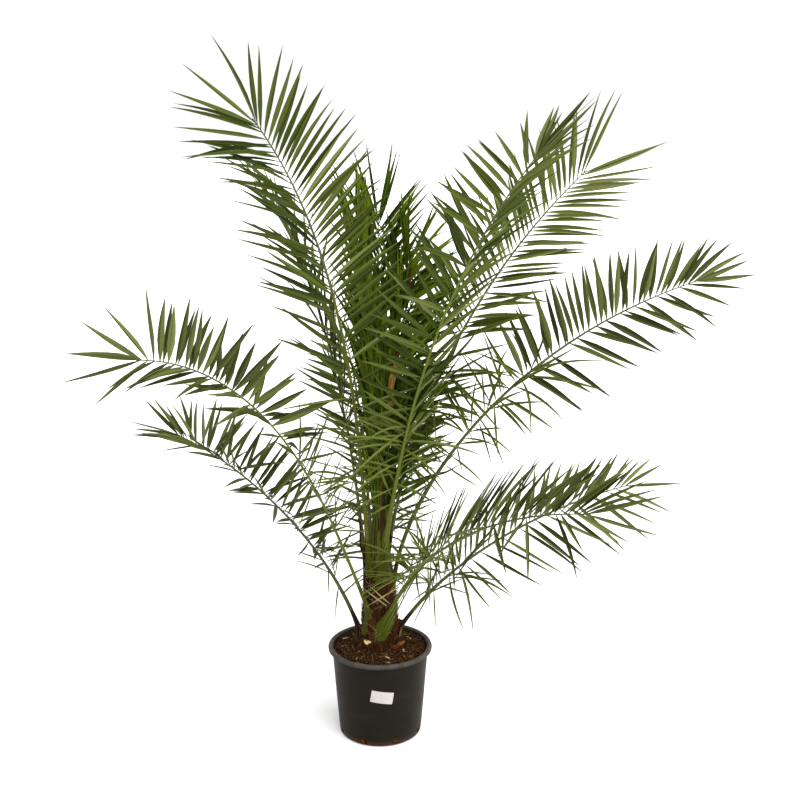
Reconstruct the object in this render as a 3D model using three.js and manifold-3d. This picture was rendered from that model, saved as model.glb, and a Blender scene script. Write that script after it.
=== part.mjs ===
// A young Canary Island date palm in a round plastic nursery pot.
// Millimetres, +Z up. The origin is the middle of the pot's flat underside,
// +X is to the viewer's right and -Y is towards the viewer.
import * as THREE from 'three';
import { mergeVertices } from 'three/addons/utils/BufferGeometryUtils.js';
import Module from 'manifold-3d';

const wasm = await Module();
wasm.setup();

// Clearance between pieces that touch
const GAP = 0.3;
// Room round a stalk's foot in the pocket that it has in the trunk
const SOCKET = 0.7;
// Room that a leaflet keeps to every other piece, or it is left out
const LEAF_ROOM = 0.6;

// Pot
const POT_HEIGHT = 250;
const POT_RIM_RADIUS = 141;
const POT_RIM_INNER = 128;
const POT_RIM_DEPTH = 13;
const POT_TOP_RADIUS = 130;
const POT_FOOT_RADIUS = 113;
const POT_STAND_RADIUS = 103;
const POT_WALL = 3;
const POT_FLOOR = 4;
const POT_SIDES = 40;
const DRAIN_COUNT = 8;
const DRAIN_WIDTH = 20;
const DRAIN_HEIGHT = 11;
const DRAIN_BOTTOM = 6;

// Soil
const SOIL_LEVEL = 254;
const SOIL_EDGE = 242;
const SOIL_FLAT_RADIUS = 72;

// Blank sticker on the front of the pot
const LABEL_WIDTH = 60;
const LABEL_HEIGHT = 34;
const LABEL_THICK = 0.5;
const LABEL_CENTRE = 151;
const LABEL_AZIMUTH = -87;
const LABEL_TURN = 9;

// Trunk: radius against height, from the flat cut on the soil to the growing tip
const TRUNK_PROFILE = [
  [SOIL_LEVEL, 62],
  [262, 60],
  [275, 56],
  [300, 52],
  [350, 49],
  [400, 44],
  [450, 38],
  [490, 32],
  [525, 26],
];
const TRUNK_TOP = 525;
const TRUNK_SIDES = 24;

// Fronds
const RIB_STEPS = 60;
const RIB_SECTION_SHARE = 0.09;
const FOOT_SHARE = 0.08;
const RIB_TIP_WIDTH = 5;
const RIB_TIP_THICK = 4;
const RIB_LEAF_WIDTH = 13;
const RIB_LEAF_THICK = 9;
const LEAF_PITCH = 54;
const LEAF_WIDTH = 26;
const YOUNG_PITCH = 44;
const YOUNG_LEAF_WIDTH = 13;
const LEAF_WIDEST = 0.24;
const LEAF_THICKNESS_SHARE = 0.012;

// Every frond: where its stalk is rooted on the trunk (azimuth, radius, height), where its
// foot ends lower on the trunk (azimuth, height), which way it heads and how it arches, how
// the blade rolls, and its leaflets: the longest on each side of the rib, the share of that
// at the tip, the lift above the blade and the angle to the rib on each side, the bare share
// of the stalk, and where a strong arch is divided. Sides with few leaflets have a wider pitch.
// Azimuths are in degrees from +X, counter-clockwise from above.
// Some have leaflet values other than the usual ones: the length of the lowest leaflets
// against the longest, how much wider they are set and where that ends, where the leaflets
// start to close up, their angle to the rib at the very tip, and their angles shortly before it.
const USUAL = { first: 0.6, back: 1.25, turn: 0.1, close: 0.75, point: 12 };
const FRONDS = [
  {
    name: 'frond_upper_left', root: [222, 38, 485], foot: [222, 455], width: 20,
    heading: 230, swing: 10, length: 1272, rise: 85, bend: 46, curve: 2.0,
    roll: [30, 35], leaf: [225, 232], tip: [1.0, 1.1], lift: [10, 10], fan: [44, 58], bare: 0.24,
    flare: [60, 42],
  },
  {
    name: 'frond_upper_left_rear', root: [148, 44, 460], foot: [148, 400], width: 22,
    heading: 146, swing: 0, length: 1010, rise: 83, bend: 26, curve: 1.7,
    roll: [0, 20], leaf: [220, 220], tip: [0.9, 0.9], lift: [28, 28], fan: [24, 28], bare: 0.26,
  },
  {
    name: 'frond_upper_right', root: [-80, 40, 474], foot: [-86, 444], width: 26,
    heading: -48, swing: -2, length: 1260, rise: 80, bend: 37, curve: 1.35,
    roll: [0, -18.5], leaf: [195, 220], tip: [0.6, 0.85], lift: [26, 26], fan: [62, 56],
    bare: 0.26, split: 0.62, close: 0.62, point: 3, flare: [66, 36],
  },
  {
    name: 'frond_upper_right_rear', root: [36, 25, 485], foot: [36, 455], width: 14,
    heading: 20, swing: 0, length: 1195, rise: 83.4, bend: 43.5, curve: 0.96,
    roll: [10, 60], leaf: [205, 215], tip: [1.3, 1.3], lift: [8, 8], fan: [54, 54], bare: 0.26,
    first: 0.9, close: 0.85, point: 20,
  },
  {
    name: 'frond_right', root: [6, 38, 440], foot: [0, 405], width: 26,
    heading: 11, swing: 6, length: 1220, rise: 84.6, bend: 71, curve: 0.67,
    roll: [20, 75], leaf: [195, 190], tip: [1.0, 1.0], lift: [6, 6], fan: [62, 64],
    bare: 0.36, split: 0.6,
    pitch: [80, 48], first: 0.95, point: 3,
  },
  {
    name: 'frond_low_right_front', root: [-62, 64, 372], foot: [-90, 284], width: 22,
    heading: -44, swing: 8, length: 740, rise: 65, bend: 56, curve: 0.8,
    roll: [0, 45], leaf: [205, 225], tip: [0.95, 0.95], lift: [5, 46], fan: [70, 34],
    bare: 0.25, split: 0.5,
  },
  {
    name: 'frond_low_right', root: [1, 58, 304], foot: [-6, 270], width: 24,
    heading: 7, swing: 0, length: 736, rise: 57, bend: 44, curve: 0.7,
    roll: [20, 65], leaf: [220, 155], tip: [0.8, 0.8], lift: [10, 10], fan: [60, 46], bare: 0.27,
    pitch: [84, 54], first: 0.9,
  },
  {
    name: 'frond_left', root: [224, 56, 395], foot: [217, 292], width: 22,
    heading: 207, swing: 10, length: 985, rise: 69, bend: 63, curve: 2.3,
    roll: [-10, -65], leaf: [205, 175], tip: [0.85, 1.2], lift: [8, 8], fan: [102, 34],
    bare: 0.28, split: 0.6, pitch: [48, 60], first: 0.95, close: 0.92, point: 6, back: 1.3, turn: 0.4,
  },
  {
    name: 'frond_low_left', root: [162, 63, 292], foot: [170, 268], width: 24,
    heading: 160, swing: -10, length: 780, rise: 69, bend: 55, curve: 0.85,
    roll: [0, -25], leaf: [165, 150], tip: [1.15, 1.15], lift: [42, 42], fan: [84, 84],
    bare: 0.27, split: 0.5, first: 0.8,
  },
  {
    name: 'frond_back_right', root: [64, 43, 450], foot: [64, 385], width: 22,
    heading: 80, swing: 0, length: 950, rise: 76, bend: 62, curve: 1.8,
    roll: [0, 0], leaf: [170, 170], tip: [0.8, 0.8], lift: [14, 14], fan: [60, 60],
    bare: 0.26, split: 0.6,
  },
  {
    name: 'frond_back_left', root: [112, 46, 412], foot: [112, 350], width: 24,
    heading: 100, swing: 0, length: 840, rise: 68, bend: 60, curve: 1.6,
    roll: [0, 0], leaf: [180, 180], tip: [0.8, 0.8], lift: [14, 14], fan: [60, 60],
    bare: 0.26, split: 0.58,
  },
  {
    name: 'frond_low_back', root: [85, 57, 315], foot: [85, 270], width: 24,
    heading: 85, swing: 0, length: 740, rise: 58, bend: 44, curve: 1.3,
    roll: [0, 0], leaf: [200, 200], tip: [0.8, 0.8], lift: [14, 14], fan: [60, 60], bare: 0.28,
  },
];

// Young fronds in the middle, still half folded: they stand on the growing tip, by the
// same rule, with narrow leaflets held close along the rib.
const TIP_SEAT = TRUNK_TOP + 1.5 * GAP;
const YOUNG_FRONDS = [
  {
    name: 'young_frond_left', root: [225, 14, TIP_SEAT], width: 16,
    heading: 192, swing: 0, length: 860, rise: 91, bend: 10, curve: 1.4,
    roll: [-90, -90], leaf: [240, 240], tip: [0.8, 0.8], lift: [14, 14], fan: [11, 11], bare: 0.1,
    back: 0.6, turn: 0.35,
  },
  {
    name: 'young_frond_middle', root: [95, 15, TIP_SEAT], width: 16,
    heading: 90, swing: 0, length: 880, rise: 91, bend: 5, curve: 1.4,
    roll: [0, 0], leaf: [240, 240], tip: [0.8, 0.8], lift: [20, 20], fan: [36, 26], bare: 0.12,
    back: 0.35, turn: 0.35,
  },
  {
    name: 'young_frond_right', root: [-25, 16, TIP_SEAT], width: 16,
    heading: -4, swing: 0, length: 780, rise: 89, bend: 9, curve: 1.4,
    roll: [80, 80], leaf: [230, 230], tip: [0.8, 0.8], lift: [20, 20], fan: [52, 20], bare: 0.12,
    back: 0.35, turn: 0.3,
  },
];

// Dry brown bases of old fronds round the foot of the trunk:
// azimuth, width, height and outward lean in degrees.
const OLD_BASES = [
  { name: 'old_base_front', azimuth: -119, width: 28, height: 28, lean: 24 },
  { name: 'old_base_front_right', azimuth: -45, width: 30, height: 34, lean: 50 },
  { name: 'old_base_left', azimuth: 200, width: 24, height: 36, lean: 24 },
  { name: 'old_base_back_left', azimuth: 125, width: 32, height: 42, lean: 26 },
  { name: 'old_base_back_right', azimuth: 40, width: 32, height: 40, lean: 26 },
];
const OLD_BASE_THICK = 9;
const OLD_BASE_SUNK = 6;

// Dry sheath that stands away from the column on the left
const SHEATH_FOOT = new THREE.Vector3(-33, -4, 490);
const SHEATH_TIP = new THREE.Vector3(-60, -10, 612);
const SHEATH_WIDTH = 20;
const SHEATH_THICK = 5;

// Materials
const POT_COLOUR = 0x34322e;
const SOIL_COLOUR = 0x4a3220;
const LABEL_COLOUR = 0xeeeae6;
const TRUNK_COLOUR = 0x4a2e20;
const DRY_COLOUR = 0x6b4327;
const FROND_COLOUR = 0x4a6424;
const YOUNG_COLOUR = 0x5c821e;

const radians = THREE.MathUtils.degToRad;
const lerp = THREE.MathUtils.lerp;

// Small repeatable random numbers, one stream for each frond
function seededRandom(seed) {
  let state = seed * 7919 + 17;
  return () => {
    state = (state * 16807) % 2147483647;
    return state / 2147483647;
  };
}

// Value of a broken line through [x, y] points
function along(points, x) {
  if (x <= points[0][0]) return points[0][1];
  for (let i = 1; i < points.length; i += 1) {
    const [x0, y0] = points[i - 1];
    const [x1, y1] = points[i];
    if (x <= x1) return lerp(y0, y1, (x - x0) / (x1 - x0));
  }
  return points[points.length - 1][1];
}

// Closed geometry to a solid for joining and cutting, faces turned outward
function toSolid(geometry) {
  const bare = geometry.clone();
  for (const key of Object.keys(bare.attributes)) {
    if (key !== 'position') bare.deleteAttribute(key);
  }
  const merged = mergeVertices(bare, 1e-4);
  const position = merged.attributes.position;
  const index = Uint32Array.from(merged.index.array);
  const a = new THREE.Vector3();
  const b = new THREE.Vector3();
  const c = new THREE.Vector3();
  const kept = [];
  let volume = 0;
  for (let i = 0; i < index.length; i += 3) {
    const [i0, i1, i2] = [index[i], index[i + 1], index[i + 2]];
    if (i0 === i1 || i1 === i2 || i0 === i2) continue;
    a.fromBufferAttribute(position, i0);
    b.fromBufferAttribute(position, i1);
    c.fromBufferAttribute(position, i2);
    volume += a.dot(b.cross(c));
    kept.push(i0, i1, i2);
  }
  if (volume < 0) kept.reverse();
  const mesh = new wasm.Mesh({
    numProp: 3,
    vertProperties: Float32Array.from(position.array),
    triVerts: Uint32Array.from(kept),
  });
  return new wasm.Manifold(mesh);
}

// Solid back to a geometry
function toGeometry(solid) {
  const mesh = solid.getMesh();
  const geometry = new THREE.BufferGeometry();
  geometry.setAttribute('position', new THREE.BufferAttribute(mesh.vertProperties, 3));
  geometry.setIndex(new THREE.BufferAttribute(mesh.triVerts, 1));
  geometry.computeVertexNormals();
  return geometry;
}

// Move every vertex of a geometry by a function of its place
function reshape(geometry, move) {
  const position = geometry.attributes.position;
  const point = new THREE.Vector3();
  for (let i = 0; i < position.count; i += 1) {
    point.fromBufferAttribute(position, i);
    const moved = move(point);
    position.setXYZ(i, moved.x, moved.y, moved.z);
  }
  return geometry;
}

// Surface of revolution about the vertical axis from [radius, height] points
function turned(points, sides) {
  const profile = points.map(([radius, height]) => new THREE.Vector2(radius, height));
  return new THREE.LatheGeometry(profile, sides).rotateX(Math.PI / 2);
}

function polar(azimuth, radius, height) {
  const angle = radians(azimuth);
  return new THREE.Vector3(Math.cos(angle) * radius, Math.sin(angle) * radius, height);
}

// Outer radius of the pot's wall at a height
function potRadius(height) {
  return along([[16, POT_FOOT_RADIUS], [POT_HEIGHT - POT_RIM_DEPTH, POT_TOP_RADIUS]], height);
}

function makePot() {
  const lip = POT_HEIGHT - POT_RIM_DEPTH;
  const inner = POT_TOP_RADIUS - POT_WALL;
  const body = toSolid(turned([
    [0, 0],
    [POT_STAND_RADIUS, 0],
    [POT_STAND_RADIUS + 6, 3],
    [POT_FOOT_RADIUS - 0.6, 9],
    [POT_FOOT_RADIUS, 16],
    [POT_TOP_RADIUS, lip],
    [POT_RIM_RADIUS - 2, lip],
    [POT_RIM_RADIUS, lip + 2],
    [POT_RIM_RADIUS, POT_HEIGHT - 2],
    [POT_RIM_RADIUS - 2, POT_HEIGHT],
    [POT_RIM_INNER + 2, POT_HEIGHT],
    [POT_RIM_INNER, POT_HEIGHT - 2],
    [inner, lip - 3],
    [POT_FOOT_RADIUS - POT_WALL, 16],
    [POT_FOOT_RADIUS - POT_WALL - 5, 8],
    [POT_STAND_RADIUS - 4, POT_FLOOR],
    [0, POT_FLOOR],
  ], POT_SIDES));
  let pot = body;
  for (let i = 0; i < DRAIN_COUNT; i += 1) {
    const azimuth = -90 + (i + 0.5) * (360 / DRAIN_COUNT);
    const cut = new THREE.BoxGeometry(20, DRAIN_WIDTH, DRAIN_HEIGHT);
    cut.translate(POT_FOOT_RADIUS, 0, DRAIN_BOTTOM + DRAIN_HEIGHT / 2);
    cut.rotateZ(radians(azimuth));
    pot = pot.subtract(toSolid(cut));
  }
  return pot;
}

function makeSoil() {
  const wall = POT_WALL + GAP;
  return toSolid(turned([
    [0, POT_FLOOR + GAP],
    [POT_STAND_RADIUS - 6, POT_FLOOR + GAP],
    [POT_FOOT_RADIUS - wall - 6, 9],
    [POT_FOOT_RADIUS - wall, 17],
    [potRadius(SOIL_EDGE) - wall, SOIL_EDGE],
    [SOIL_FLAT_RADIUS, SOIL_LEVEL - GAP],
    [0, SOIL_LEVEL - GAP],
  ], POT_SIDES));
}

function makeLabel() {
  const plate = new THREE.BoxGeometry(LABEL_WIDTH, LABEL_HEIGHT, LABEL_THICK, 8, 1, 1);
  plate.rotateZ(radians(-LABEL_TURN));
  return toSolid(reshape(plate, (point) => {
    const height = LABEL_CENTRE + point.y;
    const radius = potRadius(height) + GAP + LABEL_THICK / 2 + point.z;
    const azimuth = LABEL_AZIMUTH + THREE.MathUtils.radToDeg(point.x / potRadius(height));
    return polar(azimuth, radius, height);
  }));
}

function trunkRadius(height) {
  return along(TRUNK_PROFILE, height);
}

function makeTrunk() {
  const points = TRUNK_PROFILE.map(([height, radius]) => [radius, height]);
  return toSolid(turned([[0, SOIL_LEVEL], ...points, [0, TRUNK_TOP]], TRUNK_SIDES));
}

// Direction of a frond's rib at a share of its length
function heading(frond, share) {
  const elevation = radians(frond.rise - frond.bend * share ** frond.curve);
  const azimuth = radians(frond.heading + frond.swing * share);
  return new THREE.Vector3(
    Math.cos(elevation) * Math.cos(azimuth),
    Math.cos(elevation) * Math.sin(azimuth),
    Math.sin(elevation),
  );
}

// The rib as points: down the foot (negative shares), then out along the arch
function ribLine(frond) {
  const root = polar(...frond.root);
  const points = [root.clone()];
  const step = frond.length / RIB_STEPS;
  for (let i = 0; i < RIB_STEPS; i += 1) {
    const next = points[i].clone().addScaledVector(heading(frond, (i + 0.5) / RIB_STEPS), step);
    points.push(next);
  }
  const [footAzimuth, footHeight] = frond.foot ?? [frond.heading, root.z];
  const footRadius = Math.min(trunkRadius(footHeight), frond.root[1]) + 3;
  const foot = polar(footAzimuth, footRadius, footHeight);
  const bow = root.clone().addScaledVector(heading(frond, 0), -0.5 * (root.z - footHeight));
  return { points, foot: new THREE.QuadraticBezierCurve3(root, bow, foot), frond };
}

function ribPoint(line, share) {
  if (share < 0) return line.foot.getPoint(-share / FOOT_SHARE);
  const place = Math.min(share, 0.99999) * RIB_STEPS;
  const i = Math.floor(place);
  return line.points[i].clone().lerp(line.points[i + 1], place - i);
}

// Rib direction, sideways direction and upper face of the blade at a share of the length
function ribFrame(frond, share) {
  const low = Math.max(0, -share / FOOT_SHARE);
  const forward = heading(frond, Math.max(0, share));
  const onward = frond.heading + frond.swing * Math.max(0, share);
  const azimuth = radians(low > 0 ? lerp(onward, frond.foot[0], low) : onward);
  const level = new THREE.Vector3(-Math.sin(azimuth), Math.cos(azimuth), 0);
  const up = new THREE.Vector3().crossVectors(forward, level).normalize();
  const turn = lerp(frond.roll[0], frond.roll[1], Math.max(0, share));
  const roll = radians(turn * (frond.foot ? Math.min(1, Math.max(0, share) / 0.2) : 1));
  const side = level.clone().multiplyScalar(Math.cos(roll)).addScaledVector(up, Math.sin(roll));
  const face = up.clone().multiplyScalar(Math.cos(roll)).addScaledVector(level, -Math.sin(roll));
  return { forward, side, face };
}

function ribWidth(frond, share) {
  return along([
    [-FOOT_SHARE, frond.width * 1.55],
    [0, frond.width],
    [frond.bare, RIB_LEAF_WIDTH],
    [1, RIB_TIP_WIDTH],
  ], share);
}

function ribThick(frond, share) {
  return along([
    [-FOOT_SHARE, 10],
    [0, 14],
    [frond.bare, RIB_LEAF_THICK],
    [1, RIB_TIP_THICK],
  ], share);
}

// Shares at which a rib has a section: closer down the foot, even along the arch
function ribShares(from, to) {
  const shares = from < 0 ? [from, from * 0.5] : [];
  const start = Math.max(0, from);
  const count = Math.ceil((to - start) / RIB_SECTION_SHARE);
  for (let i = 0; i <= count; i += 1) shares.push(lerp(start, to, i / count));
  return shares;
}

// A four-sided tapering rib between two shares of the length
function makeRib(line, from, to, grow = 0) {
  const { frond } = line;
  const shares = ribShares(from, to);
  if (from < 0 && grow > 0) {
    shares.unshift(shares[0] - (FOOT_SHARE * 2 * grow) / line.foot.getLength());
  }
  const sections = shares.length - 1;
  const tube = new THREE.CylinderGeometry(1, 1, 1, 4, sections);
  return toSolid(reshape(tube, (point) => {
    const share = shares[Math.round((point.y + 0.5) * sections)];
    const { side, face } = ribFrame(frond, share);
    return ribPoint(line, share)
      .addScaledVector(side, point.x * (ribWidth(frond, share) / 2 + 3 * grow))
      .addScaledVector(face, point.z * (ribThick(frond, share) / 2 + grow));
  }));
}

// Leaflet length on one side of the rib against its place along the leafy part
function leafLength(frond, side, place) {
  const tip = frond.tip[side];
  return frond.leaf[side] * along([
    [0, frond.first],
    [0.12, lerp(frond.first, 1, 0.6)],
    [0.4, 1],
    [0.65, 0.97],
    [0.9, lerp(0.85, tip, 0.3)],
    [1, tip],
  ], place);
}

// Angle between leaflet and rib: wide at the base, closing to the tip
function leafAngle(frond, side, place) {
  const fan = frond.fan[side];
  const flare = frond.flare ? frond.flare[side] : Math.min(fan, 36);
  return along([
    [0, fan * frond.back],
    [frond.turn, fan * lerp(frond.back, 1.1, 0.3)],
    [frond.turn + 0.15, fan * 1.1],
    [frond.close, fan * 0.95],
    [lerp(frond.close, 1, 0.7), flare],
    [1, Math.min(fan, frond.point)],
  ], place);
}

// Lift of a leaflet above the blade: less at the tip
function leafLift(frond, side, place) {
  return frond.lift[side] * along([[0.8, 1], [1, 0.3]], place);
}

// One leaflet: a thin eight-sided blade, its root sunk in the rib
function makeLeaflet(root, direction, across, length, width) {
  const normal = new THREE.Vector3().crossVectors(direction, across).normalize();
  const half = width / 2;
  const thick = Math.max(2.4, LEAF_THICKNESS_SHARE * length) / 2;
  const blade = new THREE.OctahedronGeometry(1);
  return toSolid(reshape(blade, (point) => {
    const station = point.y > 0.5 ? 1 : point.y < -0.5 ? 0 : LEAF_WIDEST;
    return root.clone()
      .addScaledVector(direction, station * length)
      .addScaledVector(across, point.x * half)
      .addScaledVector(normal, point.z * thick);
  }));
}

// All leaflets that a frond would carry, with their share along the rib
function leafletsOf(line, seed) {
  const { frond } = line;
  const random = seededRandom(seed + 1);
  const usual = frond.foot ? LEAF_PITCH : YOUNG_PITCH;
  const pitch = frond.pitch ?? [usual, usual];
  const width = frond.foot ? LEAF_WIDTH : YOUNG_LEAF_WIDTH;
  const leaflets = [];
  for (const [side, hand] of [-1, 1].entries()) {
    const count = Math.round(((1 - frond.bare) * frond.length) / pitch[side]);
    for (let i = 0; i < count; i += 1) {
      const place = Math.min(1, (i + 0.6 + 0.3 * random()) / count);
      const share = frond.bare + (1 - frond.bare) * Math.min(0.985, place);
      const angle = radians(leafAngle(frond, side, place));
      const lift = radians(leafLift(frond, side, place) + 12 * (random() - 0.5));
      const { forward, side: across, face } = ribFrame(frond, share);
      const out = across.clone().multiplyScalar(hand * Math.cos(lift))
        .addScaledVector(face, Math.sin(lift));
      const direction = forward.clone().multiplyScalar(Math.cos(angle))
        .addScaledVector(out, Math.sin(angle));
      const edge = new THREE.Vector3().crossVectors(face, direction).normalize();
      const length = leafLength(frond, side, place) * (0.94 + 0.1 * random());
      const root = ribPoint(line, share).addScaledVector(out, -0.3 * ribWidth(frond, share));
      leaflets.push({ share, solid: makeLeaflet(root, direction, edge, length, width) });
    }
  }
  return leaflets;
}

// A short dry stub that leans out from the foot of the trunk
function makeOldBase(old, grow = 0) {
  const lean = radians(old.lean);
  const lifted = SOIL_LEVEL + (OLD_BASE_THICK / 2) * Math.sin(lean) + GAP;
  const stub = new THREE.CylinderGeometry(0.7, 1, old.height + 2 * grow, 6, 1);
  stub.scale(OLD_BASE_THICK / 2 + grow, 1, old.width / 2 + grow);
  stub.translate(0, old.height / 2, 0);
  stub.rotateX(Math.PI / 2);
  stub.rotateY(lean);
  stub.translate(trunkRadius(SOIL_LEVEL) + OLD_BASE_THICK / 2 - OLD_BASE_SUNK, 0, lifted);
  stub.rotateZ(radians(old.azimuth));
  return toSolid(stub);
}

// The dry sheath: a thin tapering strip
function makeSheath(grow = 0) {
  const strip = new THREE.CylinderGeometry(0.25, 1, 1, 4, 3);
  const forward = SHEATH_TIP.clone().sub(SHEATH_FOOT);
  const side = new THREE.Vector3(0, 1, 0);
  const face = new THREE.Vector3().crossVectors(forward, side).normalize();
  const length = forward.length();
  return toSolid(reshape(strip, (point) => SHEATH_FOOT.clone()
    .addScaledVector(forward, point.y + 0.5 - (point.y < -0.4 ? (2 * grow) / length : 0))
    .addScaledVector(side, point.x * (SHEATH_WIDTH / 2 + grow))
    .addScaledVector(face, point.z * (SHEATH_THICK / 2 + grow))));
}

// Solids by name, and the same ribs grown by the clearance for cutting the trunk
const solids = new Map();
solids.set('pot', makePot());
solids.set('soil', makeSoil());
solids.set('label', makeLabel());

const parts = [];
let trunk = makeTrunk();
for (const [order, own] of [...FRONDS, ...YOUNG_FRONDS].entries()) {
  const frond = { ...USUAL, ...own };
  const line = ribLine(frond);
  const leaflets = leafletsOf(line, order);
  const joint = GAP / frond.length;
  const ranges = frond.split
    ? [['_inner', -FOOT_SHARE, frond.split], ['_outer', frond.split + joint, 1]]
    : [['', frond.foot ? -FOOT_SHARE : 0, 1]];
  for (const [ending, from, to] of ranges) {
    if (from < 0) trunk = trunk.subtract(makeRib(line, from, to, SOCKET));
    parts.push({
      name: frond.name + ending,
      rib: makeRib(line, from, to),
      leaflets: leaflets.filter(({ share }) => share > from + 0.012 && share < to - 0.012 * (to < 1)),
    });
  }
}
for (const old of OLD_BASES) {
  trunk = trunk.subtract(makeOldBase(old, SOCKET));
  solids.set(old.name, makeOldBase(old));
}
trunk = trunk.subtract(makeSheath(SOCKET));
// A pocket can cut off a sliver, so only the main body of the trunk stays
[trunk] = trunk.decompose().sort((a, b) => b.volume() - a.volume());
solids.set('dry_sheath', makeSheath());
solids.set('trunk', trunk);

// A leaflet stays only where it is clear of every other piece
function clear(leaflet, owner) {
  for (const solid of solids.values()) {
    if (leaflet.minGap(solid, LEAF_ROOM * 2) < LEAF_ROOM) return false;
  }
  for (const other of parts) {
    if (other === owner) continue;
    if (leaflet.minGap(other.rib, LEAF_ROOM * 2) < LEAF_ROOM) return false;
    for (const taken of other.kept ?? []) {
      if (leaflet.minGap(taken, LEAF_ROOM * 2) < LEAF_ROOM) return false;
    }
  }
  return true;
}

for (const part of parts) {
  part.kept = [];
  for (const { solid } of part.leaflets) {
    if (clear(solid, part)) part.kept.push(solid);
  }
}
for (const part of parts) {
  solids.set(part.name, wasm.Manifold.union([part.rib, ...part.kept]));
}

// The scene graph: one mesh for each piece
const COLOURS = {
  pot: [POT_COLOUR, 0.55],
  soil: [SOIL_COLOUR, 0.95],
  label: [LABEL_COLOUR, 0.6],
  trunk: [TRUNK_COLOUR, 0.9],
  dry_sheath: [DRY_COLOUR, 0.85],
};

const palm = new THREE.Group();
for (const [name, solid] of solids) {
  let [colour, roughness] = COLOURS[name] ?? [FROND_COLOUR, 0.5];
  if (name.startsWith('young')) [colour, roughness] = [YOUNG_COLOUR, 0.5];
  if (name.startsWith('old_base')) [colour, roughness] = [DRY_COLOUR, 0.85];
  const material = new THREE.MeshStandardMaterial({ color: colour, roughness, metalness: 0 });
  const mesh = new THREE.Mesh(toGeometry(solid), material);
  mesh.name = name;
  palm.add(mesh);
}

export default palm;
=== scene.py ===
"""Looks of a young Canary Island date palm in a nursery pot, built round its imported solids.

Metres, +Z up. The origin is the middle of the pot's underside and -Y is towards the viewer.
"""
import math
import random
from dataclasses import dataclass

import bmesh
import bpy
from bpy.props import FloatProperty, FloatVectorProperty, IntProperty, PointerProperty
from mathutils import Matrix, Quaternion, Vector, noise


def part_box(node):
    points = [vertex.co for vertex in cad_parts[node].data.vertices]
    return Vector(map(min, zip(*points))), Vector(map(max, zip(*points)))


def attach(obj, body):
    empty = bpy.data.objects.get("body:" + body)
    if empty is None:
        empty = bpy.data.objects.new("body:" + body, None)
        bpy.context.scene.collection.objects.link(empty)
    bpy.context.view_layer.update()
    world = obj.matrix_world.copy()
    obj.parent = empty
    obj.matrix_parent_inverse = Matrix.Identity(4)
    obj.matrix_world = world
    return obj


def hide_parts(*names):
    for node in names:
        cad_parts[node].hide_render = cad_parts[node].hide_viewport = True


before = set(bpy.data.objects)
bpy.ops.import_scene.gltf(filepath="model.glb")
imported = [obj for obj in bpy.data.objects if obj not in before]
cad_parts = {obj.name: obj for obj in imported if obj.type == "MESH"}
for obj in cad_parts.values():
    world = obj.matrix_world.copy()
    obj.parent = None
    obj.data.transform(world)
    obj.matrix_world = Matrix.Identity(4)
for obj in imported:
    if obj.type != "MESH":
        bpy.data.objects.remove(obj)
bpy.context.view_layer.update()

bl_info = {
    "name": "Potted Date Palm",
    "version": (1, 0, 0),
    "blender": (4, 5, 0),
    "location": "3D View > Sidebar > Palm",
    "description": "Dresses the solids of a potted date palm with fronds, bark, soil and a moulded pot",
    "category": "Add Mesh",
}

_, POT_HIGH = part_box("pot")
_, SOIL_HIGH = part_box("soil")
TRUNK_LOW, TRUNK_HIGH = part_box("trunk")
UP = Vector((0, 0, 1))

# Seeds of the random draws
SEEDS = {
    "soil": 11, "trunk": 23, "scraps": 61, "fronds": 100, "young_fronds": 200, "spines": 37, "threads": 41,
}

# Pot: where its straight wall starts, its floor, and the drains round its foot
WALL_START = 0.016
FLOOR_THICK = 0.004
DRAIN_COUNT = 8
DRAIN_LOW = 0.004
DRAIN_HIGH = 0.018
DRAIN_HALF_WIDTH = 0.011
DRAIN_DEPTH = 0.003

# Sticker: the place of its middle on the wall, its turn in degrees and its thickness
LABEL_AZIMUTH = -87
LABEL_LEVEL = 0.151
LABEL_TURN = -9
LABEL_THICK = 0.0005

# Soil: its modelled underside, and the number of scraps on it and at the foot of the trunk
SOIL_FLOOR = 0.15
SOIL_SCRAPS = 260
FOOT_SCRAPS = 60

# Trunk: radius against height, from the soil to the growing tip
TRUNK_PROFILE = [
    (0.254, 0.062), (0.262, 0.060), (0.275, 0.056), (0.300, 0.052), (0.350, 0.049),
    (0.400, 0.044), (0.450, 0.038), (0.490, 0.032), (0.525, 0.026),
]
BARK_SINK = 0.004  # how far the lowest bark lies inside that radius
GREEN_START = 0.455  # height where the bark gives way to green
FIBRE_TOP = 0.480

# Frond rule
RIB_STEPS = 60
FOOT_SHARE = 0.08  # the foot's length as a negative share of the rib
FOOT_BEND = 0.45  # eight times the radius that a foot is bent round
FOOT_GAP = 0.003  # distance between the trunk and the middle of a foot
ROLL_START = 0.2  # share of the rib over which the roll sets in
RIB_LEAF_WIDTH = 0.0085
RIB_LEAF_THICK = 0.007
RIB_TIP_WIDTH = 0.0025
RIB_TIP_THICK = 0.0025
LEAF_SEAT = 0.2  # distance of a leaflet's root from the rib's middle, against the rib's width

# Spines: range of angles to the rib and out of the blade, in degrees
SPINE_ANGLES = (25, 125)
SPINE_LIFTS = (-20, 70)
SPINE_THICK = 0.0012

# Fibres, threads and straws: thickness at the end against that at the start
STRAND_TAPER = 0.3

# Outline of a leaflet: share of its length, share of its full width
BLADE_OUTLINE = [
    (0.0, 0.16), (0.05, 0.36), (0.14, 0.70), (0.30, 1.0), (0.46, 0.93),
    (0.62, 0.74), (0.78, 0.46), (0.91, 0.20),
]


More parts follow.
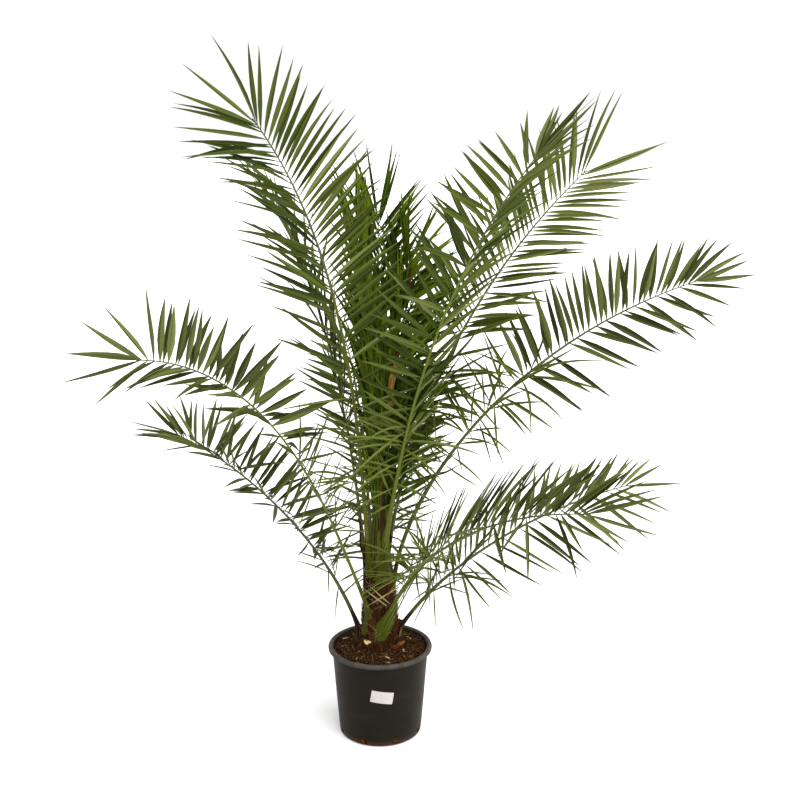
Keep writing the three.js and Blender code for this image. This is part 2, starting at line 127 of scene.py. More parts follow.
@dataclass
class Frond:
    """How one frond stands, arches and carries its leaflets, in metres and degrees.

    Pairs of leaflet values are for the two sides of the rib.
    """

    name: str
    root: tuple  # azimuth, radius and height where the stalk leaves the trunk
    heading: float  # azimuth that the rib sets out in
    length: float
    rise: float  # elevation that the rib sets out in
    bend: float  # how far the elevation falls up to the tip
    curve: float  # over 1 it bends late, under 1 early
    leaf: tuple  # length of the longest leaflets
    foot: tuple = None  # azimuth and height of the stalk's foot, which a young frond lacks
    swing: float = 0.0  # how far the azimuth turns up to the tip
    roll: tuple = (0, 0)  # roll round the rib at its start and its tip
    bare: float = 0.26  # share of the rib below the leaflets
    halves: bool = False  # the solid is divided at its bend
    width: float = 0.024  # width of the stalk at its root
    clasp: float = 0.038  # width of the foot on the trunk
    tip: tuple = (0.8, 0.8)  # length of the last leaflets against the longest
    lift: tuple = (14, 14)  # angle of the leaflets out of the blade
    fan: tuple = (60, 60)  # angle of the leaflets to the rib
    flare: tuple = None  # angles to the rib shortly before the tip, where they differ from the usual
    pitch: tuple = (0.025, 0.025)  # distance between leaflets
    thin: float = 0.3  # share of the lowest leaflets that are missing
    stray: tuple = (5, 5)  # how unruly the leaflets are
    broad: tuple = (1.2, 1.2)  # width of the leaflets against the usual one
    first: float = 0.6  # length of the lowest leaflets against the longest
    back: float = 1.25  # how much wider the lowest leaflets are set than the fan
    turn: float = 0.1  # where along the leafy part they stop leaning back
    close: float = 0.75  # where along the leafy part the leaflets start to close up
    point: float = 12  # angle to the rib at the very tip
    tangle: float = 1.0  # number of spines and slender leaflets against the usual one
    droop: float = 0.1  # how far the leaflets sag
    tone: float = 1.3  # place in the row of greens, dark to pale
    dull: bool = False  # greyer greens, as on the older outer fronds
    stalk: str = "dull"  # finish of the stalk
    aged: float = 0.6  # where along the rib it turns dull and brownish
    foot_finish: str = "husk"


FRONDS = [
    Frond("frond_upper_left", root=(222, 0.038, 0.485), foot=(222, 0.455), width=0.020,
          heading=230, swing=10, length=1.272, rise=85, bend=46, curve=2.0, roll=(30, 35), bare=0.24,
          leaf=(0.225, 0.232), tip=(1.0, 1.1), lift=(10, 10), fan=(44, 58), flare=(60, 42),
          pitch=(0.015, 0.017), thin=0.85, stray=(12, 3), broad=(1.0, 1.05), tangle=0.4, droop=0.12,
          tone=1.0, stalk="young", aged=0.62, foot_finish="foot_green"),
    Frond("frond_upper_left_rear", root=(148, 0.044, 0.460), foot=(148, 0.400), width=0.022,
          heading=146, length=1.010, rise=83, bend=26, curve=1.7, roll=(0, 20),
          leaf=(0.220, 0.220), tip=(0.9, 0.9), lift=(28, 28), fan=(24, 28),
          pitch=(0.020, 0.020), thin=0.9, stray=(14, 14), broad=(0.8, 0.8), tangle=0.25, droop=0.4,
          tone=0.9),
    Frond("frond_upper_right", root=(-80, 0.040, 0.474), foot=(-86, 0.444), width=0.026, clasp=0.040,
          heading=-48, swing=-2, length=1.260, rise=80, bend=37, curve=1.35, roll=(0, -18.5),
          halves=True, leaf=(0.195, 0.220), tip=(0.6, 0.85), lift=(26, 26), fan=(62, 56),
          flare=(66, 36), pitch=(0.016, 0.019), stray=(15, 8), broad=(1.1, 1.0), close=0.62, point=3,
          tangle=1.5, droop=0.08, tone=1.0, stalk="fresh", aged=0.75, foot_finish="foot_green"),
    Frond("frond_upper_right_rear", root=(36, 0.025, 0.485), foot=(36, 0.455), width=0.014,
          heading=20, length=1.195, rise=83.4, bend=43.5, curve=0.96, roll=(10, 60),
          leaf=(0.205, 0.215), tip=(1.3, 1.3), lift=(8, 8), fan=(54, 54),
          pitch=(0.017, 0.016), thin=1.0, broad=(0.95, 1.0), first=0.9, close=0.85, point=20,
          tangle=2.4, droop=0.05, tone=2.2),
    Frond("frond_right", root=(6, 0.038, 0.440), foot=(0, 0.405), width=0.026,
          heading=11, swing=6, length=1.220, rise=84.6, bend=71, curve=0.67, roll=(20, 75), bare=0.36,
          halves=True, leaf=(0.195, 0.190), tip=(1.0, 1.0), lift=(6, 6), fan=(62, 64),
          pitch=(0.031, 0.017), thin=1.2, stray=(9, 7), broad=(1.2, 1.3), first=0.95, point=3,
          tangle=1.1, droop=0.05, tone=0.6, dull=True, foot_finish="foot_green"),
    Frond("frond_low_right_front", root=(-62, 0.064, 0.372), foot=(-90, 0.284), width=0.022,
          clasp=0.052, heading=-44, swing=8, length=0.740, rise=65, bend=56, curve=0.8, roll=(0, 45),
          bare=0.25, halves=True, leaf=(0.205, 0.225), tip=(0.95, 0.95), lift=(5, 46), fan=(70, 34),
          pitch=(0.034, 0.013), stray=(18, 6), broad=(0.9, 1.3), tangle=3.4,
          tone=1.4, dull=True, foot_finish="foot_green"),
    Frond("frond_low_right", root=(1, 0.058, 0.304), foot=(-6, 0.270),
          heading=7, length=0.736, rise=57, bend=44, curve=0.7, roll=(20, 65), bare=0.27,
          leaf=(0.220, 0.155), lift=(10, 10), fan=(60, 46),
          pitch=(0.028, 0.018), thin=0.1, stray=(9, 7), broad=(0.9, 0.95), first=0.9,
          tangle=1.8, droop=0.08, tone=2.0, dull=True),
    Frond("frond_left", root=(224, 0.056, 0.395), foot=(217, 0.292), width=0.022, clasp=0.036,
          heading=207, swing=10, length=0.985, rise=69, bend=63, curve=2.3, roll=(-10, -65), bare=0.28,
          halves=True, leaf=(0.205, 0.175), tip=(0.85, 1.2), lift=(8, 8), fan=(102, 34),
          pitch=(0.013, 0.022), thin=1.5, stray=(12, 10), broad=(1.4, 1.0), first=0.95, back=1.3,
          turn=0.4, close=0.92, point=6, tangle=1.3, droop=0.06,
          tone=0.7, dull=True, stalk="fresh", aged=0.8, foot_finish="foot_green"),
    Frond("frond_low_left", root=(162, 0.063, 0.292), foot=(170, 0.268),
          heading=160, swing=-10, length=0.780, rise=69, bend=55, curve=0.85, roll=(0, -25), bare=0.27,
          halves=True, leaf=(0.165, 0.150), tip=(1.15, 1.15), lift=(42, 42), fan=(84, 84),
          pitch=(0.010, 0.013), thin=0.1, stray=(18, 16), broad=(0.95, 0.95), first=0.8,
          tangle=1.2, tone=1.6, dull=True, aged=0.8),
    Frond("frond_back_right", root=(64, 0.043, 0.450), foot=(64, 0.385), width=0.022,
          heading=80, length=0.950, rise=76, bend=62, curve=1.8, halves=True,
          leaf=(0.170, 0.170), thin=0.9, tangle=1.2),
    Frond("frond_back_left", root=(112, 0.046, 0.412), foot=(112, 0.350),
          heading=100, length=0.840, rise=68, bend=60, curve=1.6, halves=True,
          leaf=(0.180, 0.180), thin=0.8),
    Frond("frond_low_back", root=(85, 0.057, 0.315), foot=(85, 0.270),
          heading=85, length=0.740, rise=58, bend=44, curve=1.3, bare=0.28, leaf=(0.200, 0.200)),
]

TIP_SEAT = TRUNK_HIGH.z
YOUNG = {"curve": 1.4, "width": 0.026, "thin": 0, "stalk": "young"}
YOUNG_FRONDS = [
    Frond("young_frond_left", root=(225, 0.014, TIP_SEAT), heading=192, length=0.860, rise=91, bend=10,
          roll=(-90, -90), bare=0.1, leaf=(0.240, 0.240), fan=(11, 11), pitch=(0.014, 0.014),
          back=0.6, turn=0.35, droop=0.0, tone=2.6, **YOUNG),
    Frond("young_frond_middle", root=(95, 0.015, TIP_SEAT), heading=90, length=0.880, rise=91, bend=5,
          bare=0.12, leaf=(0.240, 0.240), lift=(20, 20), fan=(36, 26), pitch=(0.012, 0.012),
          stray=(12, 12), back=0.35, turn=0.35, droop=0.0, tone=1.9, **YOUNG),
    Frond("young_frond_right", root=(-25, 0.016, TIP_SEAT), heading=-4, length=0.780, rise=89, bend=9,
          roll=(80, 80), bare=0.12, leaf=(0.230, 0.230), lift=(20, 20), fan=(52, 20), pitch=(0.010, 0.010),
          stray=(14, 14), back=0.35, turn=0.30, droop=0.2, tone=1.5, **YOUNG),
]


@dataclass
class OldBase:
    """Dry base of an old frond: its place round the trunk, its size and its outward lean."""

    name: str
    azimuth: float
    width: float
    height: float
    lean: float
    finish: str = "husk"
    top: str = "husk"


OLD_BASES = [
    OldBase("old_base_front", -119, 0.028, 0.028, 24, "bark", "scar"),
    OldBase("old_base_front_right", -45, 0.030, 0.034, 50, "russet", "russet"),
    OldBase("old_base_left", 200, 0.024, 0.036, 24),
    OldBase("old_base_back_left", 125, 0.032, 0.042, 26),
    OldBase("old_base_back_right", 40, 0.032, 0.040, 26),
]
OLD_BASE_THICK = 0.009

# Dry sheath on the left of the column
SHEATH_FOOT = Vector((-0.033, -0.004, 0.490))
SHEATH_TIP = Vector((-0.060, -0.010, 0.612))
SHEATH_WIDTH = 0.020

# Husk flaps and a stray green blade at the foot of the trunk: foot, tip, width and number of the finish
FLAPS = [
    ((0.030, -0.054, 0.270), (0.049, -0.052, 0.320), 0.020, 1),
    ((0.036, -0.056, 0.262), (0.062, -0.052, 0.300), 0.014, 0),
    ((0.050, -0.050, 0.264), (0.058, -0.048, 0.322), 0.008, 3),
]

# Spines of the low front frond that cross the trunk: foot and tip
CROSSING_SPINES = [
    ((0.021, -0.070, 0.387), (-0.047, -0.062, 0.438)),
    ((0.028, -0.070, 0.394), (-0.031, -0.062, 0.446)),
    ((0.092, -0.090, 0.488), (-0.050, -0.066, 0.438)),
    ((0.060, -0.080, 0.452), (-0.037, -0.066, 0.384)),
]

# Dry fibre strip that runs up the folded young fronds
FIBRE_STRIP = [
    (0.003, -0.034, 0.560), (0.007, -0.034, 0.620), (0.015, -0.033, 0.740), (0.023, -0.032, 0.866),
    (0.034, -0.031, 0.980), (0.055, -0.030, 1.100), (0.072, -0.030, 1.186), (0.081, -0.030, 1.286),
]


def metres(name, description, default):
    """A length property."""
    return FloatProperty(name=name, description=description, default=default, unit="LENGTH")


def degrees(name, description, default):
    """An angle property, whose default is given in degrees."""
    return FloatProperty(name=name, description=description, default=math.radians(default),
                         subtype="ANGLE")


def colour(name, description, default):
    """A colour property with plain linear values."""
    return FloatVectorProperty(name=name, description=description, default=default,
                               subtype="COLOR", size=3, min=0.0, max=1.0)


class PotSizes(bpy.types.PropertyGroup):
    """Sizes of the pot, the soil in it and the sticker on it."""

    height: metres("Height", "Height of the pot over its rim", POT_HIGH.z)
    rim_radius: metres("Rim radius", "Outer radius of the rolled rim", POT_HIGH.x)
    rim_inner: metres("Rim opening", "Inner radius of the rolled rim", 0.128)
    rim_depth: metres("Rim depth", "Height of the rolled rim", 0.013)
    top_radius: metres("Wall radius", "Outer radius of the wall under the rim", 0.130)
    foot_radius: metres("Foot radius", "Outer radius of the wall at its foot", 0.113)
    stand_radius: metres("Stand radius", "Radius of the flat underside", 0.103)
    wall: metres("Wall", "Thickness of the wall", 0.003)
    soil_level: metres("Soil level", "Height of the soil at the trunk", SOIL_HIGH.z)
    soil_edge: metres("Soil edge", "Height of the soil at the wall", 0.242)
    crumbs: IntProperty(name="Crumbs", description="Loose crumbs that lie on the soil", default=1500)
    label_width: metres("Sticker width", "Width of the sticker", 0.060)
    label_height: metres("Sticker height", "Height of the sticker", 0.034)


class LeafSizes(bpy.types.PropertyGroup):
    """Sizes of the leaflets and spines, and how many threads and fibres there are."""

    width: metres("Leaflet width", "Full width of a leaflet laid flat", 0.0165)
    young_width: metres("Young leaflet width", "Width of a folded leaflet", 0.012)
    thick: metres("Leaflet thickness", "Thickness at the fold", 0.0012)
    fold: degrees("Fold", "How far each half is folded up from flat", 36)
    spine_width: metres("Spine width", "Width of the spines on the stalks", 0.0054)
    spine_pitch: metres("Spine pitch", "Distance between spines on one side", 0.030)
    threads: IntProperty(name="Threads", description="Loose threads among the stalks", default=150)
    fibres: IntProperty(name="Fibres", description="Fibres that cover the trunk", default=1600)


class PalmColours(bpy.types.PropertyGroup):
    """Colours of the plant and its pot."""

    leaf_deep: colour("Deep leaf", "Leaflets in the shade of others", (0.022, 0.033, 0.004))
    leaf_olive: colour("Olive leaf", "Darker leaflets", (0.040, 0.053, 0.007))
    leaf_mid: colour("Mid leaf", "Most leaflets", (0.061, 0.077, 0.012))
    leaf_fresh: colour("Fresh leaf", "Younger leaflets", (0.084, 0.101, 0.018))
    leaf_pale: colour("Pale leaf", "Leaflets bleached by light", (0.125, 0.138, 0.045))
    dull_deep: colour("Deep dull leaf", "Shaded leaflets of the outer fronds", (0.027, 0.033, 0.007))
    dull_olive: colour("Olive dull leaf", "Darker leaflets of the outer fronds", (0.045, 0.053, 0.012))
    dull_mid: colour("Mid dull leaf", "Most leaflets of the outer fronds", (0.066, 0.077, 0.019))
    dull_fresh: colour("Fresh dull leaf", "Lighter leaflets of the outer fronds", (0.088, 0.101, 0.026))
    dull_pale: colour("Pale dull leaf", "Bleached leaflets of the outer fronds", (0.124, 0.138, 0.048))
    young_deep: colour("Deep young leaf", "Shaded folded leaflets", (0.015, 0.026, 0.002))
    young_olive: colour("Olive young leaf", "Folded leaflets of the column", (0.026, 0.043, 0.002))
    young_mid: colour("Young leaf", "Most folded leaflets", (0.043, 0.071, 0.003))
    young_bright: colour("Bright young leaf", "Folded leaflets in the light", (0.105, 0.150, 0.006))
    stalk_fresh: colour("Fresh stalk", "Yellow-green stalks", (0.092, 0.112, 0.013))
    stalk_dull: colour("Dull stalk", "Grey-green stalks", (0.085, 0.092, 0.026))
    stalk_young: colour("Young stalk", "Olive bases of the young fronds", (0.075, 0.085, 0.008))
    rib_old: colour("Old rib", "Outer ribs, grey-brown", (0.080, 0.078, 0.034))
    foot_green: colour("Green foot", "Smooth feet of living fronds", (0.035, 0.043, 0.003))
    husk: colour("Husk", "Dry brown feet and husks", (0.035, 0.019, 0.008))
    russet: colour("Russet husk", "Orange-brown husks", (0.190, 0.060, 0.014))
    straw: colour("Straw", "Pale dry spines and scraps", (0.330, 0.270, 0.130))
    golden: colour("Golden fibre", "Dry strip along the folded fronds", (0.380, 0.220, 0.040))
    scar: colour("Scar", "Fresh cut in an old base", (0.580, 0.460, 0.180))
    bark: colour("Bark", "Fibrous sheath of the trunk", (0.036, 0.013, 0.004))
    soil: colour("Soil", "Moist potting soil", (0.037, 0.018, 0.008))
    pot: colour("Pot", "Dark charcoal plastic", (0.0076, 0.0054, 0.0028))
    # Dust that is also a painted highlight on the rim
    dust_and_highlight: colour("Dust", "Grey dust on the rim", (0.066, 0.060, 0.050))
    dirt: colour("Dirt", "Earth caught in the drains and along the foot", (0.090, 0.036, 0.012))
    label: colour("Sticker", "Blank sticker", (0.415, 0.385, 0.360))


class StageSettings(bpy.types.PropertyGroup):
    """Camera, light and floor."""

    camera_place: FloatVectorProperty(name="Camera", description="Where the camera stands", size=3,
                                      default=(0.054, -3.020, 1.665), subtype="TRANSLATION")
    camera_pitch: degrees("Pitch", "How far the camera looks down", 13.65)
    lens: FloatProperty(name="Lens", description="Focal length for a 36 mm sensor", default=54.0,
                        unit="CAMERA")
    sky: FloatProperty(name="Sky", description="Strength of the light from all round", default=1.05)
    sun: FloatProperty(name="Softbox", description="Strength of the large soft light", default=4.0)
    sun_spread: degrees("Softbox spread", "How large the soft light looks from the plant", 75)
    sun_tilt: degrees("Softbox tilt", "How far the soft light leans from straight above", 42)
    sun_turn: degrees("Softbox turn", "How far the soft light is turned to the right", 50)
    floor: colour("Floor", "Pale paper under the pot", (0.94, 0.94, 0.94))
    floor_radius: metres("Floor radius", "Radius of the round floor", 40)


def along(points, x):
    """Value at x of a broken line through (x, y) points."""
    if x <= points[0][0]:
        return points[0][1]
    for (x0, y0), (x1, y1) in zip(points, points[1:]):
        if x <= x1:
            return y0 + (y1 - y0) * (x - x0) / (x1 - x0)
    return points[-1][1]


def lerp(a, b, share):
    """Value between a and b."""
    return a + (b - a) * share


def polar(azimuth, radius, height):
    """Point at an azimuth in degrees."""
    angle = math.radians(azimuth)
    return Vector((math.cos(angle) * radius, math.sin(angle) * radius, height))


def trunk_radius(height):
    """Radius of the trunk at a height."""
    return along(TRUNK_PROFILE, height)


def tube(around, lengths):
    """A closed unit cylinder along Z, from 0 to 1, with that many sides and lengths."""
    bm = bmesh.new()
    bmesh.ops.create_cone(bm, cap_ends=True, segments=around, radius1=1, radius2=1, depth=1)
    upright = [e for e in bm.edges if abs(e.verts[0].co.z - e.verts[1].co.z) > 0.5]
    bmesh.ops.subdivide_edges(bm, edges=upright, cuts=lengths - 1, use_grid_fill=True)
    bmesh.ops.translate(bm, verts=bm.verts, vec=(0, 0, 0.5))
    return bm


def lathe(profile, steps):
    """A closed turned shape from (radius, height) points that start and end on the axis."""
    bm = bmesh.new()
    verts = [bm.verts.new((radius, 0, height)) for radius, height in profile]
    edges = [bm.edges.new(pair) for pair in zip(verts, verts[1:])]
    bmesh.ops.spin(bm, geom=verts + edges, cent=(0, 0, 0), axis=(0, 0, 1),
                   angle=math.tau, steps=steps, use_merge=True)
    bmesh.ops.remove_doubles(bm, verts=bm.verts, dist=1e-6)
    bmesh.ops.recalc_face_normals(bm, faces=bm.faces)
    return bm


def reshape(bm, move):
    """Moves every vertex by a function that gives its place and its grain, the fibres' own space."""
    grain = bm.verts.layers.float_vector.new("grain")
    for vert in bm.verts:
        vert.co, vert[grain] = move(vert.co.copy())


def new_object(name, data, materials=()):
    """An object of the scene with its data and materials."""
    for material in materials:
        data.materials.append(material)
    made = bpy.data.objects.new(name, data)
    bpy.context.scene.collection.objects.link(made)
    return made


def to_piece(bm, name, materials, sharp=None):
    """Turns a bmesh into an object with smooth faces, creased where it is sharper than an angle."""
    mesh = bpy.data.meshes.new(name)
    bm.to_mesh(mesh)
    bm.free()
    piece = new_object(name, mesh, materials)
    mesh.shade_smooth()
    if sharp:
        mesh.set_sharp_from_angle(angle=math.radians(sharp))
    return piece


def hand_over(piece, slot, *nodes):
    """Hangs a finished piece on the one body, so that it rides on it, and hides the solids that it stands
    for.
    """
    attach(piece, "root")
    if nodes:
        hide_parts(*nodes)


class Batch:
    """Gathers many small closed shapes into one joined mesh."""

    def __init__(self):
        self.points = []
        self.faces = []
        self.tints = []
        self.grain = []

    def add(self, points, faces, tint, grain, painted_light_half_tint=None):
        """Adds one shape. Of a blade's four rows of faces, the middle two are its other half, which may
        take its own tint: a paler tone there is painted light and shade across the fold.
        """
        start = len(self.points)
        self.points.extend(points)
        self.faces.extend(tuple(start + i for i in face) for face in faces)
        # Painted light: the other half of a blade may take a paler tint than the first
        other = tint if painted_light_half_tint is None else painted_light_half_tint
        self.tints.extend(other if k % 4 > 1 else tint for k in range(len(faces)))
        self.grain.extend(grain)

    def to_piece(self, name, materials, smooth=False):
        """Turns what was gathered into an object."""
        mesh = bpy.data.meshes.new(name)
        mesh.from_pydata(self.points, [], self.faces)
        piece = new_object(name, mesh, materials)
        mesh.polygons.foreach_set("material_index", self.tints)
        grain = mesh.attributes.new("grain", "FLOAT_VECTOR", "POINT")
        grain.data.foreach_set("vector", [value for point in self.grain for value in point])
        if smooth:
            mesh.shade_smooth()
        return piece


def ring_faces(rings, sides, tip=False):
    """Faces of a closed skin over rings of points, with a point at the tip or a flat end."""
    faces = [tuple(reversed(range(sides)))]
    for ring in range(rings - 1):
        for i in range(sides):
            j = (i + 1) % sides
            low = ring * sides
            high = low + sides
            faces.append((low + i, low + j, high + j, high + i))
    last = (rings - 1) * sides
    if tip:
        faces.extend((last + i, last + (i + 1) % sides, last + sides) for i in range(sides))
    else:
        faces.append(tuple(range(last, last + sides)))
    return faces


BLADE_FACES = ring_faces(len(BLADE_OUTLINE), 4, tip=True)


def add_blade(batch, root, direction, normal, length, width, thick, fold,
              droop=0.0, sway=0.0, tint=0, offset=0.0, painted_light_half_tint=None):
    """One leaflet: a thin blade folded along its keel, which bends a little under its weight. One half can
    take a paler tint, painted light on the fold.
    """
    across = direction.cross(normal).normalized()
    points = []
    grain = []
    place = root.copy()
    last = 0.0
    for station, share in [*BLADE_OUTLINE, (1.0, 0.0)]:
        middle = (station + last) / 2
        heading = (direction - UP * (droop * middle) + across * (sway * middle)).normalized()
        place = place + heading * ((station - last) * length)
        last = station
        if share == 0.0:
            points.append(place)
            grain.append((0.5 + offset, station, offset))
            break
        side = heading.cross(normal).normalized()
        face = side.cross(heading)
        angle = fold * (1.0 - 0.45 * station)
        reach = side * (math.cos(angle) * width * share / 2)
        rise = face * (math.sin(angle) * width * share / 2)
        half = face * (thick / 2 * (1.0 - 0.7 * station))
        points.extend([place - reach + rise, place - half, place + reach + rise, place + half])
        grain.extend([(offset, station, offset), (0.5 + offset, station, offset),
                      (1.0 + offset, station, offset), (0.5 + offset, station, offset)])
    batch.add(points, BLADE_FACES, tint, grain, painted_light_half_tint)


def add_straight_blade(batch, foot, tip, normal, width, thick, fold, tint, offset):
    """One straight blade between two points."""
    line = Vector(tip) - Vector(foot)
    add_blade(batch, Vector(foot), line.normalized(), normal, line.length, width, thick, fold,
              tint=tint, offset=offset)


def add_strand(batch, line, thick, tint):
    """One three-sided strand along a line of points, thinner towards its end."""
    points = []
    grain = []
    count = len(line)
    for i, place in enumerate(line):
        ahead = line[min(i + 1, count - 1)] - line[max(i - 1, 0)]
        side = ahead.cross(Vector((0.31, 0.17, 0.93))).normalized()
        over = side.cross(ahead).normalized()
        radius = thick / 2 * lerp(1.0, STRAND_TAPER, i / (count - 1))
        for k in range(3):
            angle = math.tau * k / 3
            points.append(place + side * (math.cos(angle) * radius) + over * (math.sin(angle) * radius))
            grain.append((k / 3, i / count, thick))
    batch.add(points, ring_faces(count, 3), tint, grain)


def wander(rng, start, direction, length, curl, steps):
    """A curly line of points."""
    line = [start]
    heading = direction.normalized()
    for _ in range(steps):
        turn = Vector((rng.gauss(0, 1), rng.gauss(0, 1), rng.gauss(0, 1)))
        heading = (heading + turn * curl).normalized()
        line.append(line[-1] + heading * (length / steps))
    return line


class Rib:
    """The line of one frond, a foot that runs down the trunk and then the arch, and its directions."""

    def __init__(self, frond):
        self.frond = frond
        self.root = polar(*frond.root)
        self.points = [self.root]
        step = frond.length / RIB_STEPS
        for i in range(RIB_STEPS):
            self.points.append(self.points[-1] + self.heading((i + 0.5) / RIB_STEPS) * step)
        self.foot = frond.foot or (frond.heading, self.root.z)
        foot_radius = min(trunk_radius(self.foot[1]), frond.root[1]) + FOOT_GAP
        self.foot_point = polar(self.foot[0], foot_radius, self.foot[1])
        self.bow = self.root - self.heading(0) * (0.5 * (self.root.z - self.foot[1]))

    def heading(self, share):
        """Direction of the rib at a share of its length."""
        frond = self.frond
        elevation = math.radians(frond.rise - frond.bend * share ** frond.curve)
        azimuth = math.radians(frond.heading + frond.swing * share)
        return Vector((
            math.cos(elevation) * math.cos(azimuth),
            math.cos(elevation) * math.sin(azimuth),
            math.sin(elevation),
        ))

    def point(self, share):
        """Point of the rib: negative shares run down the foot."""
        if share < 0:
            low = -share / FOOT_SHARE
            first = self.root.lerp(self.bow, low)
            second = self.bow.lerp(self.foot_point, low)
            return first.lerp(second, low)
        place = min(share, 0.99999) * RIB_STEPS
        i = int(place)
        return self.points[i].lerp(self.points[i + 1], place - i)

    def blade(self, share):
        """Directions along the rib, across the blade and out of its upper face."""
        frond = self.frond
        out = max(0.0, share)
        low = max(0.0, -share / FOOT_SHARE)
        forward = self.heading(out)
        azimuth = math.radians(lerp(frond.heading + frond.swing * out, self.foot[0], low))
        level = Vector((-math.sin(azimuth), math.cos(azimuth), 0))
        up = forward.cross(level).normalized()
        ramp = min(1.0, out / ROLL_START) if frond.foot else 1.0
        roll = math.radians(lerp(*frond.roll, out) * ramp)
        side = level * math.cos(roll) + up * math.sin(roll)
        face = up * math.cos(roll) - level * math.sin(roll)
        return forward, side, face

    def seat(self, share, hand, angle, lift):
        """Root, direction and upper normal of a leaflet on one hand, at an angle to the rib and a lift."""
        forward, across, face = self.blade(share)
        out = across * (hand * math.cos(lift)) + face * math.sin(lift)
        direction = forward * math.cos(angle) + out * math.sin(angle)
        normal = direction.cross(face.cross(direction)).normalized()
        root = self.point(share) + out * (LEAF_SEAT * self.width(share))
        return root, direction, normal

    def width(self, share):
        """Width of the stalk and rib: a flared foot, then a long taper."""
        frond = self.frond
        waist = lerp(RIB_LEAF_WIDTH, frond.width, 0.45)
        shape = [(-FOOT_SHARE, frond.clasp * 0.55), (-FOOT_SHARE * 0.8, frond.clasp * 0.92),
                 (-FOOT_SHARE * 0.5, frond.clasp), (0, frond.width * 1.1), (0.05, waist),
                 (frond.bare, RIB_LEAF_WIDTH), (0.65, RIB_LEAF_WIDTH * 0.75), (1, RIB_TIP_WIDTH)]
        return along(shape, share)

    def thick(self, share):
        """Thickness of the stalk and rib."""
        shape = [(-FOOT_SHARE, 0.005), (-FOOT_SHARE * 0.6, 0.010), (0, 0.013),
                 (self.frond.bare, RIB_LEAF_THICK), (0.62, RIB_LEAF_THICK * 0.6), (1, RIB_TIP_THICK)]
        return along(shape, share)


def new_finish(name, base, roughness, specular):
    """A material with its shader, its colour and its gloss set."""
    material = bpy.data.materials.new(name)
    material.use_nodes = True
    shader = material.node_tree.nodes["Principled BSDF"]
    shader.inputs["Base Color"].default_value = (*base, 1)
    shader.inputs["Roughness"].default_value = roughness
    shader.inputs["Specular IOR Level"].default_value = specular
    return material, material.node_tree, shader


def scaled(base, factor):
    """A colour made lighter or darker."""
    return tuple(min(1.0, value * factor) for value in base)


def add_node(tree, kind, inputs, **settings):
    """A shader node with its settings, and inputs that are set to a value or linked to a socket."""
    node = tree.nodes.new("ShaderNode" + kind)
    for name, setting in settings.items():
        setattr(node, name, setting)
    for name, value in inputs.items():
        if isinstance(value, bpy.types.NodeSocket):
            tree.links.new(value, node.inputs[name])
        else:
            node.inputs[name].default_value = value
    return node


def speckle(tree, space, scale, detail, stretch=(1, 1, 1)):
    """A noise in Object space or along the grain, whose Fac socket it gives."""
    if space == "grain":
        place = add_node(tree, "Attribute", {}, attribute_name="grain").outputs["Vector"]
    else:
        place = add_node(tree, "TexCoord", {}).outputs["Object"]
    mapping = add_node(tree, "Mapping", {"Vector": place, "Scale": stretch})
    inputs = {"Vector": mapping.outputs["Vector"], "Scale": scale, "Detail": detail}
    return add_node(tree, "TexNoise", inputs).outputs["Fac"]


def tones(tree, factor, stops):
    """A colour ramp over a factor, from (place, colour) stops."""
    ramp = add_node(tree, "ValToRGB", {"Fac": factor})
    elements = ramp.color_ramp.elements
    while len(elements) < len(stops):
        elements.new(0.5)
    for element, (place, base) in zip(elements, stops):
        element.position = place
        element.color = (*base, 1)
    return ramp.outputs["Color"]


def relief(tree, shader, height, distance, strength=0.6):
    """A bump from a height socket."""
    bump = add_node(tree, "Bump", {"Strength": strength, "Distance": distance, "Height": height})
    tree.links.new(bump.outputs["Normal"], shader.inputs["Normal"])


def leaf_finish(name, base):
    """Satin leaf with fine veins that run along each leaflet."""
    material, tree, shader = new_finish(name, base, 0.45, 0.05)
    veins = speckle(tree, "grain", 4.0, 3.0, (1.0, 0.12, 1.0))
    stops = [(0.35, scaled(base, 0.68)), (0.65, scaled(base, 1.32))]
    tree.links.new(tones(tree, veins, stops), shader.inputs["Base Color"])
    relief(tree, shader, veins, 0.0004)
    return material


def fibrous_finish(name, base, dark, light, roughness, specular, scale, depth):
    """Fibres that run along the grain, in a dark and a light tone of a colour."""
    material, tree, shader = new_finish(name, scaled(base, light), roughness, specular)
    fibres = speckle(tree, "grain", scale, 6.0, (1.0, 1.0, 0.12))
    stops = [(0.35, scaled(base, dark)), (0.65, scaled(base, light))]
    tree.links.new(tones(tree, fibres, stops), shader.inputs["Base Color"])
    relief(tree, shader, fibres, depth)
    return material


def height_fade(tree, low, high, at_low, at_high):
    """A factor that runs between two heights in Object space."""
    place = add_node(tree, "TexCoord", {})
    split = add_node(tree, "SeparateXYZ", {"Vector": place.outputs["Object"]})
    fade = add_node(tree, "MapRange", {"Value": split.outputs["Z"], "From Min": low, "From Max": high,
                                       "To Min": at_low, "To Max": at_high})
    return fade.outputs["Result"]


def laid_over(tree, under, over, fade, spots):
    """A colour laid over another where a fade and a noise are both strong."""
    amount = add_node(tree, "Math", {0: fade, 1: spots}, operation="MULTIPLY", use_clamp=True)
    blend = add_node(tree, "Mix", {"Factor": amount.outputs["Value"], "A": under, "B": (*over, 1)},
                     data_type="RGBA")
    return blend.outputs["Result"]


